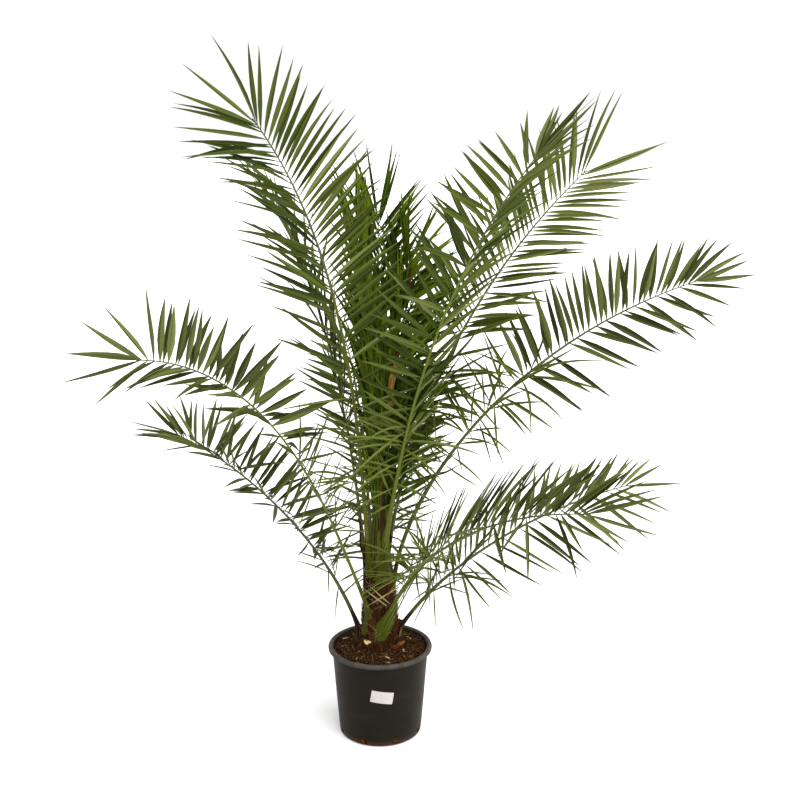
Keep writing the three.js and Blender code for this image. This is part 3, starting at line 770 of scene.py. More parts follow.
def pot_finish(colours):
    """Charcoal plastic, scuffed, with grey dust and a painted highlight on its rim, and dried earth along
    its foot.
    """
    base = colours.pot
    material, tree, shader = new_finish("pot_plastic", base, 0.5, 0.07)
    cloud = speckle(tree, "object", 9.0, 8.0, (1.0, 1.0, 2.5))
    plastic = tones(tree, cloud, [(0.35, scaled(base, 0.8)), (0.55, base), (0.75, scaled(base, 1.9))])
    spots = speckle(tree, "object", 45.0, 6.0)
    foot = height_fade(tree, 0.0, 0.026, 0.8, -0.3)
    # Dust on the rim, paler towards its top, that also serves as a painted highlight on the rolled rim
    rim = height_fade(tree, 0.228, 0.249, -0.3, 1.6)
    earthy = laid_over(tree, plastic, scaled(colours.dirt, 1.2), foot, spots)
    dusty_highlit_rim = laid_over(tree, earthy, colours.dust_and_highlight, rim, spots)
    tree.links.new(dusty_highlit_rim, shader.inputs["Base Color"])
    gloss = add_node(tree, "MapRange", {"Value": cloud, "To Min": 0.32, "To Max": 0.62})
    tree.links.new(gloss.outputs["Result"], shader.inputs["Roughness"])
    relief(tree, shader, spots, 0.0004, 0.3)
    return material


def soil_finish(name, base, scale=220.0):
    """Crumbly moist soil in several browns."""
    material, tree, shader = new_finish(name, base, 0.95, 0.0)
    grit = speckle(tree, "object", scale, 8.0)
    stops = [(0.38, scaled(base, 0.04)), (0.52, scaled(base, 0.8)), (0.7, scaled(base, 2.6))]
    tree.links.new(tones(tree, grit, stops), shader.inputs["Base Color"])
    relief(tree, shader, grit, 0.002, 0.9)
    return material


def label_finish(base):
    """Matt coated paper, a little uneven."""
    material, tree, shader = new_finish("sticker_paper", base, 0.55, 0.3)
    cloud = speckle(tree, "object", 60.0, 4.0)
    stops = [(0.3, scaled(base, 0.93)), (0.7, scaled(base, 1.04))]
    tree.links.new(tones(tree, cloud, stops), shader.inputs["Base Color"])
    return material


# Rows of greens, dark to pale
LEAF_TONES = ["leaf_deep", "leaf_olive", "leaf_mid", "leaf_fresh", "leaf_pale"]
DULL_TONES = ["dull_deep", "dull_olive", "dull_mid", "dull_fresh", "dull_pale"]
YOUNG_TONES = ["young_deep", "young_olive", "young_mid", "young_bright"]

# Fibrous finishes: dark and light tone against the colour, roughness, sheen, scale and depth of the fibres
WAXY = (0.7, 1.15, 0.45, 0.08, 3.0, 0.0004)
DRY = (0.15, 1.6, 0.8, 0.05, 5.0, 0.0012)
FIBROUS = {
    "stalk_fresh": WAXY, "stalk_dull": WAXY, "stalk_young": WAXY, "rib_old": WAXY, "straw": WAXY,
    "husk": DRY, "russet": DRY, "bark": DRY,
    "foot_green": (0.9, 1.25, 0.4, 0.02, 1.5, 0.0002),
    "golden": (0.12, 1.0, 0.8, 0.05, 2.2, 0.0012),
    "scar": (0.7, 1.0, 0.7, 0.2, 4.0, 0.0006),
}
FINISHES = {}  # those made so far


def finishes(colours):
    """Every finish of the plant and its soil by name, made once."""
    if not FINISHES:
        for tone in LEAF_TONES + DULL_TONES + YOUNG_TONES:
            FINISHES[tone] = leaf_finish(tone, getattr(colours, tone))
        for tone, values in FIBROUS.items():
            FINISHES[tone] = fibrous_finish(tone, getattr(colours, tone), *values)
        FINISHES["soil"] = soil_finish("soil", colours.soil)
        FINISHES["crumb"] = soil_finish("crumb", scaled(colours.soil, 1.7), 160.0)
    return FINISHES


def pot_wall(sizes, height):
    """Outer radius of the pot's wall at a height."""
    lip = sizes.height - sizes.rim_depth
    return along([(WALL_START, sizes.foot_radius), (lip, sizes.top_radius)], height)


def make_pot(sizes, colours):
    """Moulded pot with a rolled rim, a rounded foot and recessed drains."""
    lip = sizes.height - sizes.rim_depth
    rim = sizes.rim_radius
    bm = lathe([
        (0, 0),
        (sizes.stand_radius, 0),
        (sizes.stand_radius + 0.005, 0.0012),
        (sizes.foot_radius - 0.002, DRAIN_LOW),
        (sizes.foot_radius, DRAIN_HIGH),
        (pot_wall(sizes, 0.08), 0.08),
        (pot_wall(sizes, 0.16), 0.16),
        (sizes.top_radius, lip - 0.001),
        (rim - 0.004, lip),
        (rim - 0.0006, lip + 0.003),
        (rim, lip + 0.007),
        (rim - 0.0018, sizes.height - 0.002),
        (rim - 0.005, sizes.height),
        (sizes.rim_inner + 0.004, sizes.height - 0.0002),
        (sizes.rim_inner, sizes.height - 0.003),
        (sizes.top_radius - sizes.wall, lip - 0.002),
        (sizes.foot_radius - sizes.wall - 0.004, DRAIN_HIGH),
        (sizes.stand_radius - 0.004, FLOOR_THICK),
        (0, FLOOR_THICK),
    ], 144)
    half_drain = math.degrees(DRAIN_HALF_WIDTH / sizes.foot_radius)
    for i in range(DRAIN_COUNT):
        azimuth = -90 + (i + 0.5) * 360 / DRAIN_COUNT
        drain = []
        for face in bm.faces:
            centre = face.calc_center_median()
            turn = math.degrees(math.atan2(centre.y, centre.x)) - azimuth
            turn = (turn + 180) % 360 - 180
            outward = face.normal.xy.dot(centre.xy) > 0
            if abs(turn) < half_drain and DRAIN_LOW < centre.z < DRAIN_HIGH and outward:
                drain.append(face)
        bmesh.ops.inset_region(bm, faces=drain, thickness=0.0008, depth=-DRAIN_DEPTH, use_even_offset=True)
        for face in drain:
            face.material_index = 1
    materials = [pot_finish(colours), soil_finish("drain_earth", colours.dirt)]
    hand_over(to_piece(bm, "pot_shell", materials, 40), "pot", "pot")


def make_label(sizes, colours):
    """Blank sticker with rounded corners, bent round the pot and turned a little."""
    bm = bmesh.new()
    bmesh.ops.create_grid(bm, x_segments=1, y_segments=1, size=0.5)
    bmesh.ops.scale(bm, verts=bm.verts, vec=(sizes.label_width, sizes.label_height, 1))
    bmesh.ops.bevel(bm, geom=list(bm.verts), offset=0.0015, offset_type="OFFSET", segments=3, profile=0.5,
                    affect="VERTICES", material=-1, clamp_overlap=True)
    columns = 12
    for i in range(1, columns):
        cut = (i / columns - 0.5) * sizes.label_width
        bmesh.ops.bisect_plane(bm, geom=bm.verts[:] + bm.edges[:] + bm.faces[:],
                               plane_co=(cut, 0, 0), plane_no=(1, 0, 0))
    turn = Matrix.Rotation(math.radians(LABEL_TURN), 3, "Z")
    for vert in bm.verts:
        flat = turn @ vert.co
        height = LABEL_LEVEL + flat.y
        radius = pot_wall(sizes, height) + 0.0003
        azimuth = LABEL_AZIMUTH + math.degrees(flat.x / radius)
        vert.co = polar(azimuth, radius, height)
    bmesh.ops.solidify(bm, geom=bm.faces[:], thickness=-LABEL_THICK)
    bmesh.ops.recalc_face_normals(bm, faces=bm.faces)
    piece = to_piece(bm, "pot_sticker", [label_finish(colours.label)], 40)
    hand_over(piece, "label", "label")


def soil_height(sizes, x, y):
    """Height of the lumpy soil at a place."""
    radius = math.hypot(x, y)
    level = along([(0.05, sizes.soil_level + 0.002), (0.072, sizes.soil_level - 0.001),
                   (0.110, sizes.soil_edge + 0.002), (0.127, sizes.soil_edge - 0.002)], radius)
    lumps = noise.noise(Vector((x, y, 0.3)) * 38) * 0.004
    grit = noise.noise(Vector((x, y, 1.7)) * 120) * 0.0022
    return level + lumps + grit


def soil_place(rng, sizes, inner, outer):
    """A random place on the soil between two radii."""
    radius = math.sqrt(rng.uniform(inner ** 2, outer ** 2))
    angle = rng.uniform(0, math.tau)
    place = Vector((math.cos(angle) * radius, math.sin(angle) * radius, 0))
    place.z = soil_height(sizes, place.x, place.y)
    return place


def make_crumbs(rng, sizes, finish, edge):
    """Loose crumbs of soil: small uneven balls."""
    ball = bmesh.new()
    bmesh.ops.create_icosphere(ball, subdivisions=1, radius=1.0)
    ball_points = [v.co.copy() for v in ball.verts]
    ball_faces = [tuple(v.index for v in f.verts) for f in ball.faces]
    ball.free()
    crumbs = Batch()
    for _ in range(sizes.crumbs):
        centre = soil_place(rng, sizes, 0.05, edge - 0.004)
        size = rng.uniform(0.0012, 0.0042) * rng.uniform(0.6, 1.0)
        turn = Quaternion([rng.gauss(0, 1) for _ in range(4)]).normalized()
        shape = Vector((rng.uniform(0.6, 1.5), rng.uniform(0.5, 1.0), rng.uniform(0.4, 0.9)))
        points = [centre + turn @ (p * shape * size * rng.uniform(0.75, 1.2)) for p in ball_points]
        crumbs.add(points, ball_faces, rng.choice([0, 0, 1]), points)
    hand_over(crumbs.to_piece("soil_crumbs", [finish["soil"], finish["crumb"]], smooth=True), "soil")


def make_soil_scraps(rng, sizes, finish, edge):
    """Straws and husk scraps that lie on the soil and point inwards."""
    scraps = Batch()
    for _ in range(SOIL_SCRAPS):
        start = soil_place(rng, sizes, 0.06, edge - 0.012) + UP * 0.001
        turn = rng.uniform(0, math.tau)
        direction = Vector((math.cos(turn), math.sin(turn), rng.uniform(-0.05, 0.3)))
        inward = Vector((-start.x, -start.y, 0)).normalized()
        if direction.dot(inward) < 0:
            direction = -direction + UP * 0.1
        length = rng.uniform(0.006, 0.024)
        if rng.random() < 0.3:
            add_blade(scraps, start, direction.normalized(), UP, length, length * 0.35, 0.0008, 0.3,
                      tint=rng.choice([0, 0, 0, 1, 1, 2]), offset=rng.random())
        else:
            line = wander(rng, start, direction, length, 0.25, 5)
            add_strand(scraps, line, rng.uniform(0.0005, 0.0011), rng.choice([0, 0, 1, 2]))
    materials = [finish["husk"], finish["russet"], finish["straw"]]
    hand_over(scraps.to_piece("soil_scraps", materials), "soil")


def make_soil(sizes, colours):
    """Lumpy soil with loose crumbs, straws and husk scraps on it."""
    finish = finishes(colours)
    edge = sizes.top_radius - sizes.wall - 0.0003
    rings = 56
    profile = [(edge * i / rings, sizes.soil_edge) for i in range(rings + 1)]
    profile += [(pot_wall(sizes, SOIL_FLOOR) - sizes.wall - 0.001, SOIL_FLOOR), (0, SOIL_FLOOR)]
    bm = lathe(profile, 180)
    for vert in bm.verts:
        if vert.co.z > lerp(SOIL_FLOOR, sizes.soil_edge, 0.5):
            vert.co.z = soil_height(sizes, vert.co.x, vert.co.y)
    hand_over(to_piece(bm, "soil_bed", [finish["soil"]]), "soil", "soil")
    rng = random.Random(SEEDS["soil"])
    make_crumbs(rng, sizes, finish, edge)
    make_soil_scraps(rng, sizes, finish, edge)


def bark_relief(angle, height):
    """How far the bark stands out: sheaths, fibres, hairs, lumps, a bulge in front and a low collar."""
    around = Vector((math.cos(angle), math.sin(angle), 0))
    wave = height + 0.030 * math.sin(2 * angle + 0.6) + 0.014 * math.sin(5 * angle + height * 30)
    step = (wave / 0.052) % 1.0
    sheath = 0.0040 * (1.0 - step) ** 1.5
    fibres = noise.noise(Vector((around.x * 26, around.y * 26, height * 12))) * 0.0018
    hairs = noise.noise(Vector((around.x * 70, around.y * 70, height * 30))) * 0.0010
    lumps = noise.noise(Vector((around.x * 3, around.y * 3, height * 22))) * 0.0035
    front = math.degrees(angle) + 112
    bulge = 0.009 * math.exp(-(front / 22) ** 2 - ((height - 0.325) / 0.038) ** 2)
    collar = 0.004 * math.exp(-((height - 0.270) / 0.012) ** 2)
    return sheath + fibres + hairs + lumps + bulge + collar


def bark_radius(angle, height):
    """Radius of the trunk with its relief."""
    return trunk_radius(height) - BARK_SINK + bark_relief(angle, height)


def make_trunk(sizes, colours):
    """Trunk with the relief of its overlapping fibrous sheaths, green near the growing tip."""
    finish = finishes(colours)
    low = TRUNK_LOW.z - 0.006
    high = TRUNK_HIGH.z
    bm = tube(144, 120)
    for face in bm.faces:
        centre = face.calc_center_median()
        ragged = noise.noise(Vector((centre.x * 4, centre.y * 4, centre.z * 3))) * 0.05
        face.material_index = 1 if lerp(low, high, centre.z) + ragged > GREEN_START else 0

    def move(unit):
        angle = math.atan2(unit.y, unit.x)
        height = lerp(low, high, unit.z)
        radius = bark_radius(angle, height) * min(1.0, unit.xy.length)
        place = Vector((math.cos(angle) * radius, math.sin(angle) * radius, height))
        return place, Vector((math.cos(angle) * 9, math.sin(angle) * 9, height * 60))

    reshape(bm, move)
    materials = [finish["bark"], finish["stalk_young"]]
    hand_over(to_piece(bm, "trunk_bark", materials), "trunk", "trunk")

    rng = random.Random(SEEDS["trunk"])
    fibres = Batch()
    for _ in range(sizes.fibres):
        height = rng.uniform(TRUNK_LOW.z + 0.004, FIBRE_TOP)
        azimuth = rng.uniform(-180, 180)
        start = polar(azimuth, bark_radius(math.radians(azimuth), height), height)
        outward = polar(azimuth, 1, 0)
        sideways = polar(azimuth + 90, 1, 0)
        lean = rng.gauss(0, 0.6)
        direction = UP * rng.uniform(0.2, 1.0) + sideways * lean + outward * rng.uniform(-0.02, 0.16)
        line = wander(rng, start, direction, rng.uniform(0.014, 0.045), 0.16, 5)
        add_strand(fibres, line, rng.uniform(0.0005, 0.0010), rng.choice([0, 0, 0, 1, 1, 2, 3]))
    materials = [finish["bark"], finish["husk"], finish["russet"], finish["straw"]]
    hand_over(fibres.to_piece("trunk_fibres", materials), "trunk")


def make_old_base(old, finish):
    """A dry husk with a ragged or cut top."""
    bm = tube(20, 8)
    top = [face for face in bm.faces if face.normal.z > 0.9]
    cut = bmesh.ops.inset_region(bm, faces=top, thickness=0.12, depth=0.0)
    for face in top + cut["faces"]:
        face.material_index = 1
    lean = math.radians(old.lean)
    outward = polar(old.azimuth, 1, 0)
    across = polar(old.azimuth + 90, 1, 0)
    axis = UP * math.cos(lean) + outward * math.sin(lean)
    face_out = outward * math.cos(lean) - UP * math.sin(lean)
    low = trunk_radius(TRUNK_LOW.z) - 0.0015
    foot = polar(old.azimuth, low, TRUNK_LOW.z + OLD_BASE_THICK / 2 * math.sin(lean))

    def move(unit):
        taper = lerp(1.0, 0.8, unit.z)
        ragged = noise.noise(Vector((unit.x * 2.2, unit.y * 2.2, old.azimuth))) * 0.18
        length = old.height * unit.z * (1.0 + ragged - 0.12 * unit.x)
        bent = -0.0045 * unit.y ** 2
        place = foot + axis * length + across * (unit.y * old.width / 2 * taper)
        place += face_out * (unit.x * OLD_BASE_THICK / 2 * taper + bent)
        return place, Vector((unit.x * 3, unit.y * 3, unit.z * 4))

    reshape(bm, move)
    piece = to_piece(bm, old.name + "_husk", [finish[old.finish], finish[old.top]], 50)
    hand_over(piece, "dry_base", old.name)


def make_sheath(finish):
    """The dry sheath: a curled strip that tapers to a wisp."""
    bm = tube(10, 14)
    forward = SHEATH_TIP - SHEATH_FOOT
    side = Vector((0, 1, 0))
    face = forward.cross(side).normalized()

    def move(unit):
        taper = along([(0, 1.0), (0.5, 0.8), (0.85, 0.4), (1, 0.12)], unit.z)
        curl = 0.006 * math.sin(unit.z * 5.0)
        place = SHEATH_FOOT + forward * unit.z + side * (unit.x * SHEATH_WIDTH / 2 * taper)
        place += face * (unit.y * 0.0016 * taper + 0.004 * unit.x ** 2 + curl)
        return place, Vector((unit.x * 3, unit.y * 3, unit.z * 6))

    reshape(bm, move)
    hand_over(to_piece(bm, "dry_sheath_strip", [finish["husk"]], 50), "dry_base", "dry_sheath")


def make_scraps(finish):
    """Husk flaps, a stray green blade and torn strips at the foot of the trunk."""
    rng = random.Random(SEEDS["scraps"])
    batch = Batch()
    for foot, tip, width, tint in FLAPS:
        add_straight_blade(batch, foot, tip, Vector((0, -1, 0.3)), width, 0.0016, 0.5, tint, rng.random())
    for _ in range(FOOT_SCRAPS):
        azimuth = rng.uniform(-180, 180)
        start = polar(azimuth, rng.uniform(0.058, 0.066), rng.uniform(0.262, 0.280))
        down = polar(azimuth + rng.gauss(0, 25), 1, rng.uniform(-1.2, 0.1))
        line = wander(rng, start, down, rng.uniform(0.010, 0.030), 0.2, 5)
        add_strand(batch, line, rng.uniform(0.0010, 0.0028), rng.choice([0, 0, 1, 2]))
    materials = [finish["husk"], finish["bark"], finish["russet"], finish["stalk_dull"]]
    hand_over(batch.to_piece("foot_scraps", materials), "dry_base")


def make_fibre_strip(finish):
    """Dry golden-brown strip along the folded young fronds, broad where it shows between the leaflets."""
    bm = tube(8, 90)
    knots = [(i / (len(FIBRE_STRIP) - 1), Vector(p)) for i, p in enumerate(FIBRE_STRIP)]
    breadth = [(0, 0.3), (0.07, 1), (0.24, 0.8), (0.30, 0.2), (0.37, 0.3), (0.43, 0.9), (0.64, 1.1),
               (0.70, 0.2), (0.82, 0.2), (0.87, 0.9), (0.96, 0.8), (1, 0.1)]
    for face in bm.faces:
        share = face.calc_center_median().z
        face.material_index = 0 if 0.50 < share < 0.66 else 1

    def move(unit):
        place = Vector([along([(s, p[k]) for s, p in knots], unit.z) for k in range(3)])
        ragged = 1.0 + 0.9 * noise.noise(Vector((0.3, 0.7, unit.z * 34)))
        place.x += unit.x * 0.0060 * ragged * along(breadth, unit.z) + 0.002 * math.sin(unit.z * 19)
        place.y += unit.y * 0.0010
        return place, Vector((unit.x * 2, unit.y * 2, unit.z * 90))

    reshape(bm, move)
    piece = to_piece(bm, "dry_fibre_strip", [finish["golden"], finish["husk"]], 60)
    hand_over(piece, "dry_base")


def make_husks(colours):
    """All dry bases, scraps, the dry sheath and the fibre strip."""
    finish = finishes(colours)
    for old in OLD_BASES:
        make_old_base(old, finish)
    make_sheath(finish)
    make_scraps(finish)
    make_fibre_strip(finish)


def make_rib(rib, finish, slot):
    """Stalk and rib of a frond: a broad clasping foot, then a keeled tapering rib."""
    frond = rib.frond
    first = -FOOT_SHARE if frond.foot else 0.0
    foot_band = 0.16 if frond.foot else 0.0  # share of the mesh that the foot takes
    foot_end = 0.06  # share of the rib where the foot's finish ends

    def share_at(height):
        if height < foot_band:
            return lerp(first, 0.0, height / foot_band)
        return (height - foot_band) / (1 - foot_band)

    bm = tube(14, 100)
    for face in bm.faces:
        centre = face.calc_center_median()
        ragged = 0.03 * noise.noise(Vector((centre.x * 2, centre.y * 2, frond.heading)))
        share = share_at(centre.z)
        if frond.foot and share < foot_end + ragged:
            face.material_index = 1
        elif share > frond.aged + ragged:
            face.material_index = 2

    def move(unit):
        share = share_at(unit.z)
        _, side, face = rib.blade(share)
        width = rib.width(share)
        wrap = along([(-FOOT_SHARE, 1.0), (0.04, 0.0)], share) * width * width / FOOT_BEND
        upper = along([(0, 0.5), (frond.bare, 0.8)], share)
        depth = unit.y * (upper if unit.y > 0 else 1.0) * rib.thick(share) / 2
        place = rib.point(share) + side * (unit.x * width / 2) + face * (depth + wrap * unit.x ** 2)
        return place, Vector((unit.x * 2, unit.y * 2, share * 40))

    reshape(bm, move)
    upper = finish["stalk_" + frond.stalk]
    outer = upper if frond.foot is None else finish["rib_old"]
    piece = to_piece(bm, frond.name + "_rib", [upper, finish[frond.foot_finish], outer], 60)
    nodes = [frond.name + end for end in ("_inner", "_outer")] if frond.halves else [frond.name]
    hand_over(piece, slot, *nodes)


def leaf_length(frond, side, place):
    """Leaflet length on one side of the rib against its place along the leafy part."""
    second = lerp(frond.first, 1.0, 0.6)
    tip = frond.tip[side]
    shape = [(0, frond.first), (0.12, second), (0.4, 1), (0.65, 0.97),
             (0.9, lerp(0.85, tip, 0.3)), (1, tip)]
    return frond.leaf[side] * along(shape, place)


def leaf_angle(frond, side, place):
    """Angle between leaflet and rib: wide at the base, closing to the tip."""
    fan = frond.fan[side]
    flare = frond.flare[side] if frond.flare else min(fan, 36)
    leaning = lerp(frond.back, 1.1, 0.3)
    shape = [(0, fan * frond.back), (frond.turn, fan * leaning), (frond.turn + 0.15, fan * 1.1),
             (frond.close, fan * 0.95), (lerp(frond.close, 1, 0.7), flare), (1, min(fan, frond.point))]
    return along(shape, place)


def make_leaflets(rib, sizes, finish, slot, seed):
    """All leaflets of a frond, by the rule of its solids, at their real number and width."""
    frond = rib.frond
    young = frond.foot is None
    tone_names = YOUNG_TONES if young else DULL_TONES if frond.dull else LEAF_TONES
    palest = len(tone_names) - 1
    rng = random.Random(seed)
    batch = Batch()
    full_width = sizes.young_width if young else sizes.width
    fold = sizes.fold * (1.2 if young else 1.0)
    for side, hand in enumerate((-1, 1)):
        count = round((1 - frond.bare) * frond.length / frond.pitch[side])
        for i in range(count):
            stray = frond.stray[side] * along([(0.6, 1.0), (1.0, 0.4)], i / count)
            place = min(1.0, (i + 0.7 + 0.05 * stray * rng.uniform(-1, 1)) / count)
            if rng.random() < frond.thin * (1 - place / 0.5):
                continue
            share = frond.bare + (1 - frond.bare) * min(0.985, place)
            angle = math.radians(leaf_angle(frond, side, place) + rng.gauss(0, stray * 0.7))
            level = frond.lift[side] * along([(0.8, 1.0), (1.0, 0.3)], place)
            lift = math.radians(level + rng.gauss(0, stray))
            root, direction, normal = rib.seat(share, hand, angle, lift)
            twist = Matrix.Rotation(math.radians(rng.gauss(0, 5 if young else 16)), 3, direction)
            length = leaf_length(frond, side, place) * rng.uniform(0.90, 1.04)
            slim = along([(0.5, 1.0), (1, 0.8)] if young else
                         [(0, 0.55), (0.25, 0.85), (0.45, 1.0), (1, 0.8)], place)
            width = full_width * frond.broad[side] * slim * rng.uniform(0.8, 1.1)
            tone = frond.tone * (along([(0.2, 0.7), (0.7, 1.0)], place) if young else 1.0)
            tint = max(0, min(palest, round(rng.gauss(tone, 1.0))))
            # Painted light and shade: one half of each leaflet takes the same or a paler tone, as if the
            # V-fold were lit on one side
            painted_light_half_tint = min(palest, tint + rng.choice([0, 1] if young else [0, 1, 1, 2]))
            add_blade(batch, root, direction, twist @ normal, length, width, sizes.thick,
                      fold * rng.uniform(0.6, 1.4), frond.droop * rng.uniform(0.3, 1.6),
                      rng.gauss(0, 0.10), tint, rng.random() * 9, painted_light_half_tint)
    materials = [finish[tone] for tone in tone_names]
    hand_over(batch.to_piece(frond.name + "_leaflets", materials), slot)


def make_heart(finish):
    """The folded bases of the young fronds: a ridged column that grows out of the trunk."""
    low = TRUNK_HIGH.z - 0.080
    high = TRUNK_HIGH.z + 0.330
    bm = tube(72, 60)
    for face in bm.faces:
        centre = face.calc_center_median()
        streak = noise.noise(Vector((centre.x * 5, centre.y * 5, centre.z * 1.5)))
        face.material_index = 1 if streak > 0.28 else 2 if streak < -0.35 else 0

    def move(unit):
        angle = math.atan2(unit.y, unit.x)
        height = lerp(low, high, unit.z)
        ridges = 0.0028 * noise.noise(Vector((unit.x * 6, unit.y * 6, unit.z * 1.2)))
        folds = 0.0020 * math.sin(angle * 7 + unit.z * 2)
        size = along([(0, 0.034), (0.15, 0.027), (0.4, 0.018), (1, 0.010)], unit.z)
        radius = (size + ridges + folds) * min(1.0, unit.xy.length)
        place = Vector((math.cos(angle) * radius - 0.004 * unit.z, math.sin(angle) * radius, height))
        return place, Vector((unit.x * 9, unit.y * 9, height * 12))

    reshape(bm, move)
    materials = [finish["stalk_young"], finish["young_olive"], finish["bark"]]
    hand_over(to_piece(bm, "young_frond_bases", materials), "young_frond")


def grow(fronds, sizes, finish, slot, seed):
    """Stalk, rib and leaflets of every frond in a list."""
    for order, frond in enumerate(fronds):
        rib = Rib(frond)
        make_rib(rib, finish, slot)
        make_leaflets(rib, sizes, finish, slot, seed + order)


def make_fronds(sizes, colours):
    """The open fronds."""
    grow(FRONDS, sizes, finishes(colours), "frond", SEEDS["fronds"])


def make_young_fronds(sizes, colours):
    """The young fronds in the middle, still half folded, and their bases."""
    finish = finishes(colours)
    make_heart(finish)
    grow(YOUNG_FRONDS, sizes, finish, "young_frond", SEEDS["young_fronds"])


def make_spines(sizes, colours):
    """Thin stiff spines and slender lowest leaflets along every bare stalk."""
    finish = finishes(colours)
    rng = random.Random(SEEDS["spines"])
    batch = Batch()
    for frond in FRONDS:
        rib = Rib(frond)
        end = frond.bare + lerp(0.03, 0.20, min(1.0, frond.thin))
        count = round(end * frond.length / sizes.spine_pitch * frond.tangle)
        for side, hand in enumerate((-1, 1)):
            for i in range(count):
                grown = lerp(0.35, 1.0, ((i + rng.random()) / count) ** 0.7)
                curly = rng.random() < 0.2
                angle = math.radians(rng.uniform(*SPINE_ANGLES))
                lift = math.radians(rng.uniform(*SPINE_LIFTS))
                root, direction, normal = rib.seat(end * grown, hand, angle, lift)
                length = lerp(0.080, frond.leaf[side], grown) * rng.uniform(0.7, 1.25)
                width = sizes.spine_width * lerp(0.9, 2.0, grown) * rng.uniform(0.7, 1.2)
                droop = rng.uniform(0.5, 1.1) if curly else rng.uniform(0.0, 0.35)
                sway = rng.gauss(0, 0.5 if curly else 0.2)
                add_blade(batch, root, direction, normal, length, width, SPINE_THICK, math.radians(45),
                          droop, sway, rng.choice([1, 2, 2, 3]), rng.random())
    for foot, tip in CROSSING_SPINES:
        add_straight_blade(batch, foot, tip, Vector((0, -1, 0.4)), 0.7 * sizes.spine_width, SPINE_THICK,
                           math.radians(40), rng.choice([0, 4]), rng.random())
    tone_names = ["stalk_dull", "leaf_mid", "leaf_fresh", "stalk_fresh", "straw"]
    hand_over(batch.to_piece("stalk_spines", [finish[tone] for tone in tone_names]), "frond")


def make_threads(sizes, colours):
    """Loose curly threads among the stalks."""
    finish = finishes(colours)
    rng = random.Random(SEEDS["threads"])
    batch = Batch()
    ribs = [Rib(frond) for frond in FRONDS]
    for _ in range(sizes.threads):
        rib = rng.choice(ribs)
        share = rng.uniform(0.08, 0.42)
        forward, across, _ = rib.blade(share)
        direction = forward * rng.uniform(-0.2, 1) + across * rng.uniform(-1, 1) - UP * rng.uniform(0, 0.5)
        line = wander(rng, rib.point(share), direction, rng.uniform(0.05, 0.15), 0.28, 9)
        add_strand(batch, line, rng.uniform(0.0007, 0.0012), rng.choice([0, 1, 2]))
    materials = [finish["stalk_dull"], finish["leaf_olive"], finish["husk"]]
    hand_over(batch.to_piece("loose_threads", materials), "frond")


def make_stage(settings):
    """Pale floor, soft light from all round with one large soft source, and the photo's camera."""
    bm = bmesh.new()
    bmesh.ops.create_circle(bm, cap_ends=True, segments=96, radius=settings.floor_radius)
    bmesh.ops.translate(bm, verts=bm.verts, vec=(0, 0, -0.0005))
    material, _, _ = new_finish("floor_paper", settings.floor, 0.9, 0.0)
    floor = to_piece(bm, "floor", [material])

    scene = bpy.context.scene
    world = bpy.data.worlds.new("studio")
    world.use_nodes = True
    sky = world.node_tree.nodes["Background"]
    sky.inputs["Color"].default_value = (1, 1, 1, 1)
    sky.inputs["Strength"].default_value = settings.sky
    scene.world = world

    lamp = bpy.data.lights.new("softbox", "SUN")
    lamp.energy = settings.sun
    lamp.angle = settings.sun_spread
    sun = new_object("softbox", lamp)
    sun.rotation_euler = (settings.sun_tilt, 0, settings.sun_turn)

    camera = bpy.data.cameras.new("camera")
    camera.lens = settings.lens
    camera.sensor_width = 36
    eye = new_object("camera", camera)
    eye.location = settings.camera_place
    eye.rotation_euler = (math.pi / 2 - settings.camera_pitch, 0, 0)
    scene.camera = eye
    scene.view_settings.view_transform = "Standard"


class PALM_OT_pot(bpy.types.Operator):
    """Model the moulded pot"""

    bl_idname = "palm.pot"
    bl_label = "Pot"

    def execute(self, context):
        make_pot(context.scene.palm_pot, context.scene.palm_colours)
        return {"FINISHED"}


class PALM_OT_label(bpy.types.Operator):
    """Model the blank sticker on the pot"""

    bl_idname = "palm.label"
    bl_label = "Sticker"

    def execute(self, context):
        make_label(context.scene.palm_pot, context.scene.palm_colours)
        return {"FINISHED"}


class PALM_OT_soil(bpy.types.Operator):
    """Model the soil with its crumbs and scraps"""

    bl_idname = "palm.soil"
    bl_label = "Soil"

    def execute(self, context):
        make_soil(context.scene.palm_pot, context.scene.palm_colours)
        return {"FINISHED"}


class PALM_OT_trunk(bpy.types.Operator):
    """Model the trunk's bark and fibres"""

    bl_idname = "palm.trunk"
    bl_label = "Trunk"

    def execute(self, context):
        make_trunk(context.scene.palm_leaves, context.scene.palm_colours)
        return {"FINISHED"}


class PALM_OT_husks(bpy.types.Operator):
    """Model the dry bases of old fronds and the dry sheath"""

    bl_idname = "palm.husks"
    bl_label = "Husks"

    def execute(self, context):
        make_husks(context.scene.palm_colours)
        return {"FINISHED"}


class PALM_OT_fronds(bpy.types.Operator):
    """Grow the open fronds"""

    bl_idname = "palm.fronds"
    bl_label = "Fronds"

    def execute(self, context):
        make_fronds(context.scene.palm_leaves, context.scene.palm_colours)
        return {"FINISHED"}


class PALM_OT_young_fronds(bpy.types.Operator):
    """Grow the folded young fronds"""

    bl_idname = "palm.young_fronds"
    bl_label = "Young fronds"

    def execute(self, context):
        make_young_fronds(context.scene.palm_leaves, context.scene.palm_colours)
        return {"FINISHED"}


class PALM_OT_spines(bpy.types.Operator):
    """Grow the spines along the stalks"""

    bl_idname = "palm.spines"
    bl_label = "Spines"

    def execute(self, context):
        make_spines(context.scene.palm_leaves, context.scene.palm_colours)
        return {"FINISHED"}


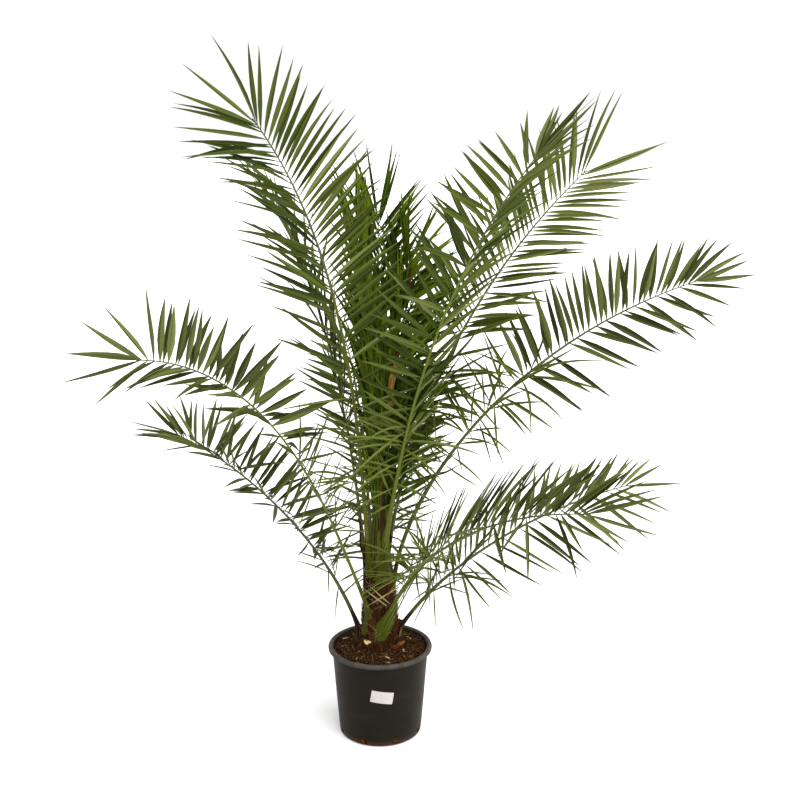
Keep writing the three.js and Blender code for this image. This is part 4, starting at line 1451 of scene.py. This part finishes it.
class PALM_OT_threads(bpy.types.Operator):
    """Hang loose threads among the stalks"""

    bl_idname = "palm.threads"
    bl_label = "Threads"

    def execute(self, context):
        make_threads(context.scene.palm_leaves, context.scene.palm_colours)
        return {"FINISHED"}


class PALM_OT_stage(bpy.types.Operator):
    """Set up the floor, light and camera"""

    bl_idname = "palm.stage"
    bl_label = "Stage"

    def execute(self, context):
        make_stage(context.scene.palm_stage)
        return {"FINISHED"}


STEPS = [
    PALM_OT_pot, PALM_OT_label, PALM_OT_soil, PALM_OT_trunk, PALM_OT_husks, PALM_OT_fronds,
    PALM_OT_young_fronds, PALM_OT_spines, PALM_OT_threads, PALM_OT_stage,
]
GROUPS = {
    "palm_pot": PotSizes,
    "palm_leaves": LeafSizes,
    "palm_colours": PalmColours,
    "palm_stage": StageSettings,
}


class PALM_PT_panel(bpy.types.Panel):
    """Steps and settings of the potted palm"""

    bl_idname = "PALM_PT_panel"
    bl_label = "Potted Date Palm"
    bl_space_type = "VIEW_3D"
    bl_region_type = "UI"
    bl_category = "Palm"

    def draw(self, context):
        for step in STEPS:
            self.layout.operator(step.bl_idname)
        for group_name, group in GROUPS.items():
            box = self.layout.box()
            for name in group.__annotations__:
                box.prop(getattr(context.scene, group_name), name)


def register():
    """Registers the settings, the steps and the panel."""
    for group_name, group in GROUPS.items():
        bpy.utils.register_class(group)
        setattr(bpy.types.Scene, group_name, PointerProperty(type=group))
    for step in STEPS:
        bpy.utils.register_class(step)
    bpy.utils.register_class(PALM_PT_panel)


def unregister():
    """Takes back what register did."""
    bpy.utils.unregister_class(PALM_PT_panel)
    for step in reversed(STEPS):
        bpy.utils.unregister_class(step)
    for group_name, group in GROUPS.items():
        delattr(bpy.types.Scene, group_name)
        bpy.utils.unregister_class(group)


def main():
    """Registers the add-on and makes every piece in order."""
    register()
    bpy.ops.palm.pot()
    bpy.ops.palm.label()
    bpy.ops.palm.soil()
    bpy.ops.palm.trunk()
    bpy.ops.palm.husks()
    bpy.ops.palm.fronds()
    bpy.ops.palm.young_fronds()
    bpy.ops.palm.spines()
    bpy.ops.palm.threads()
    bpy.ops.palm.stage()


if __name__ == "__main__":
    main()
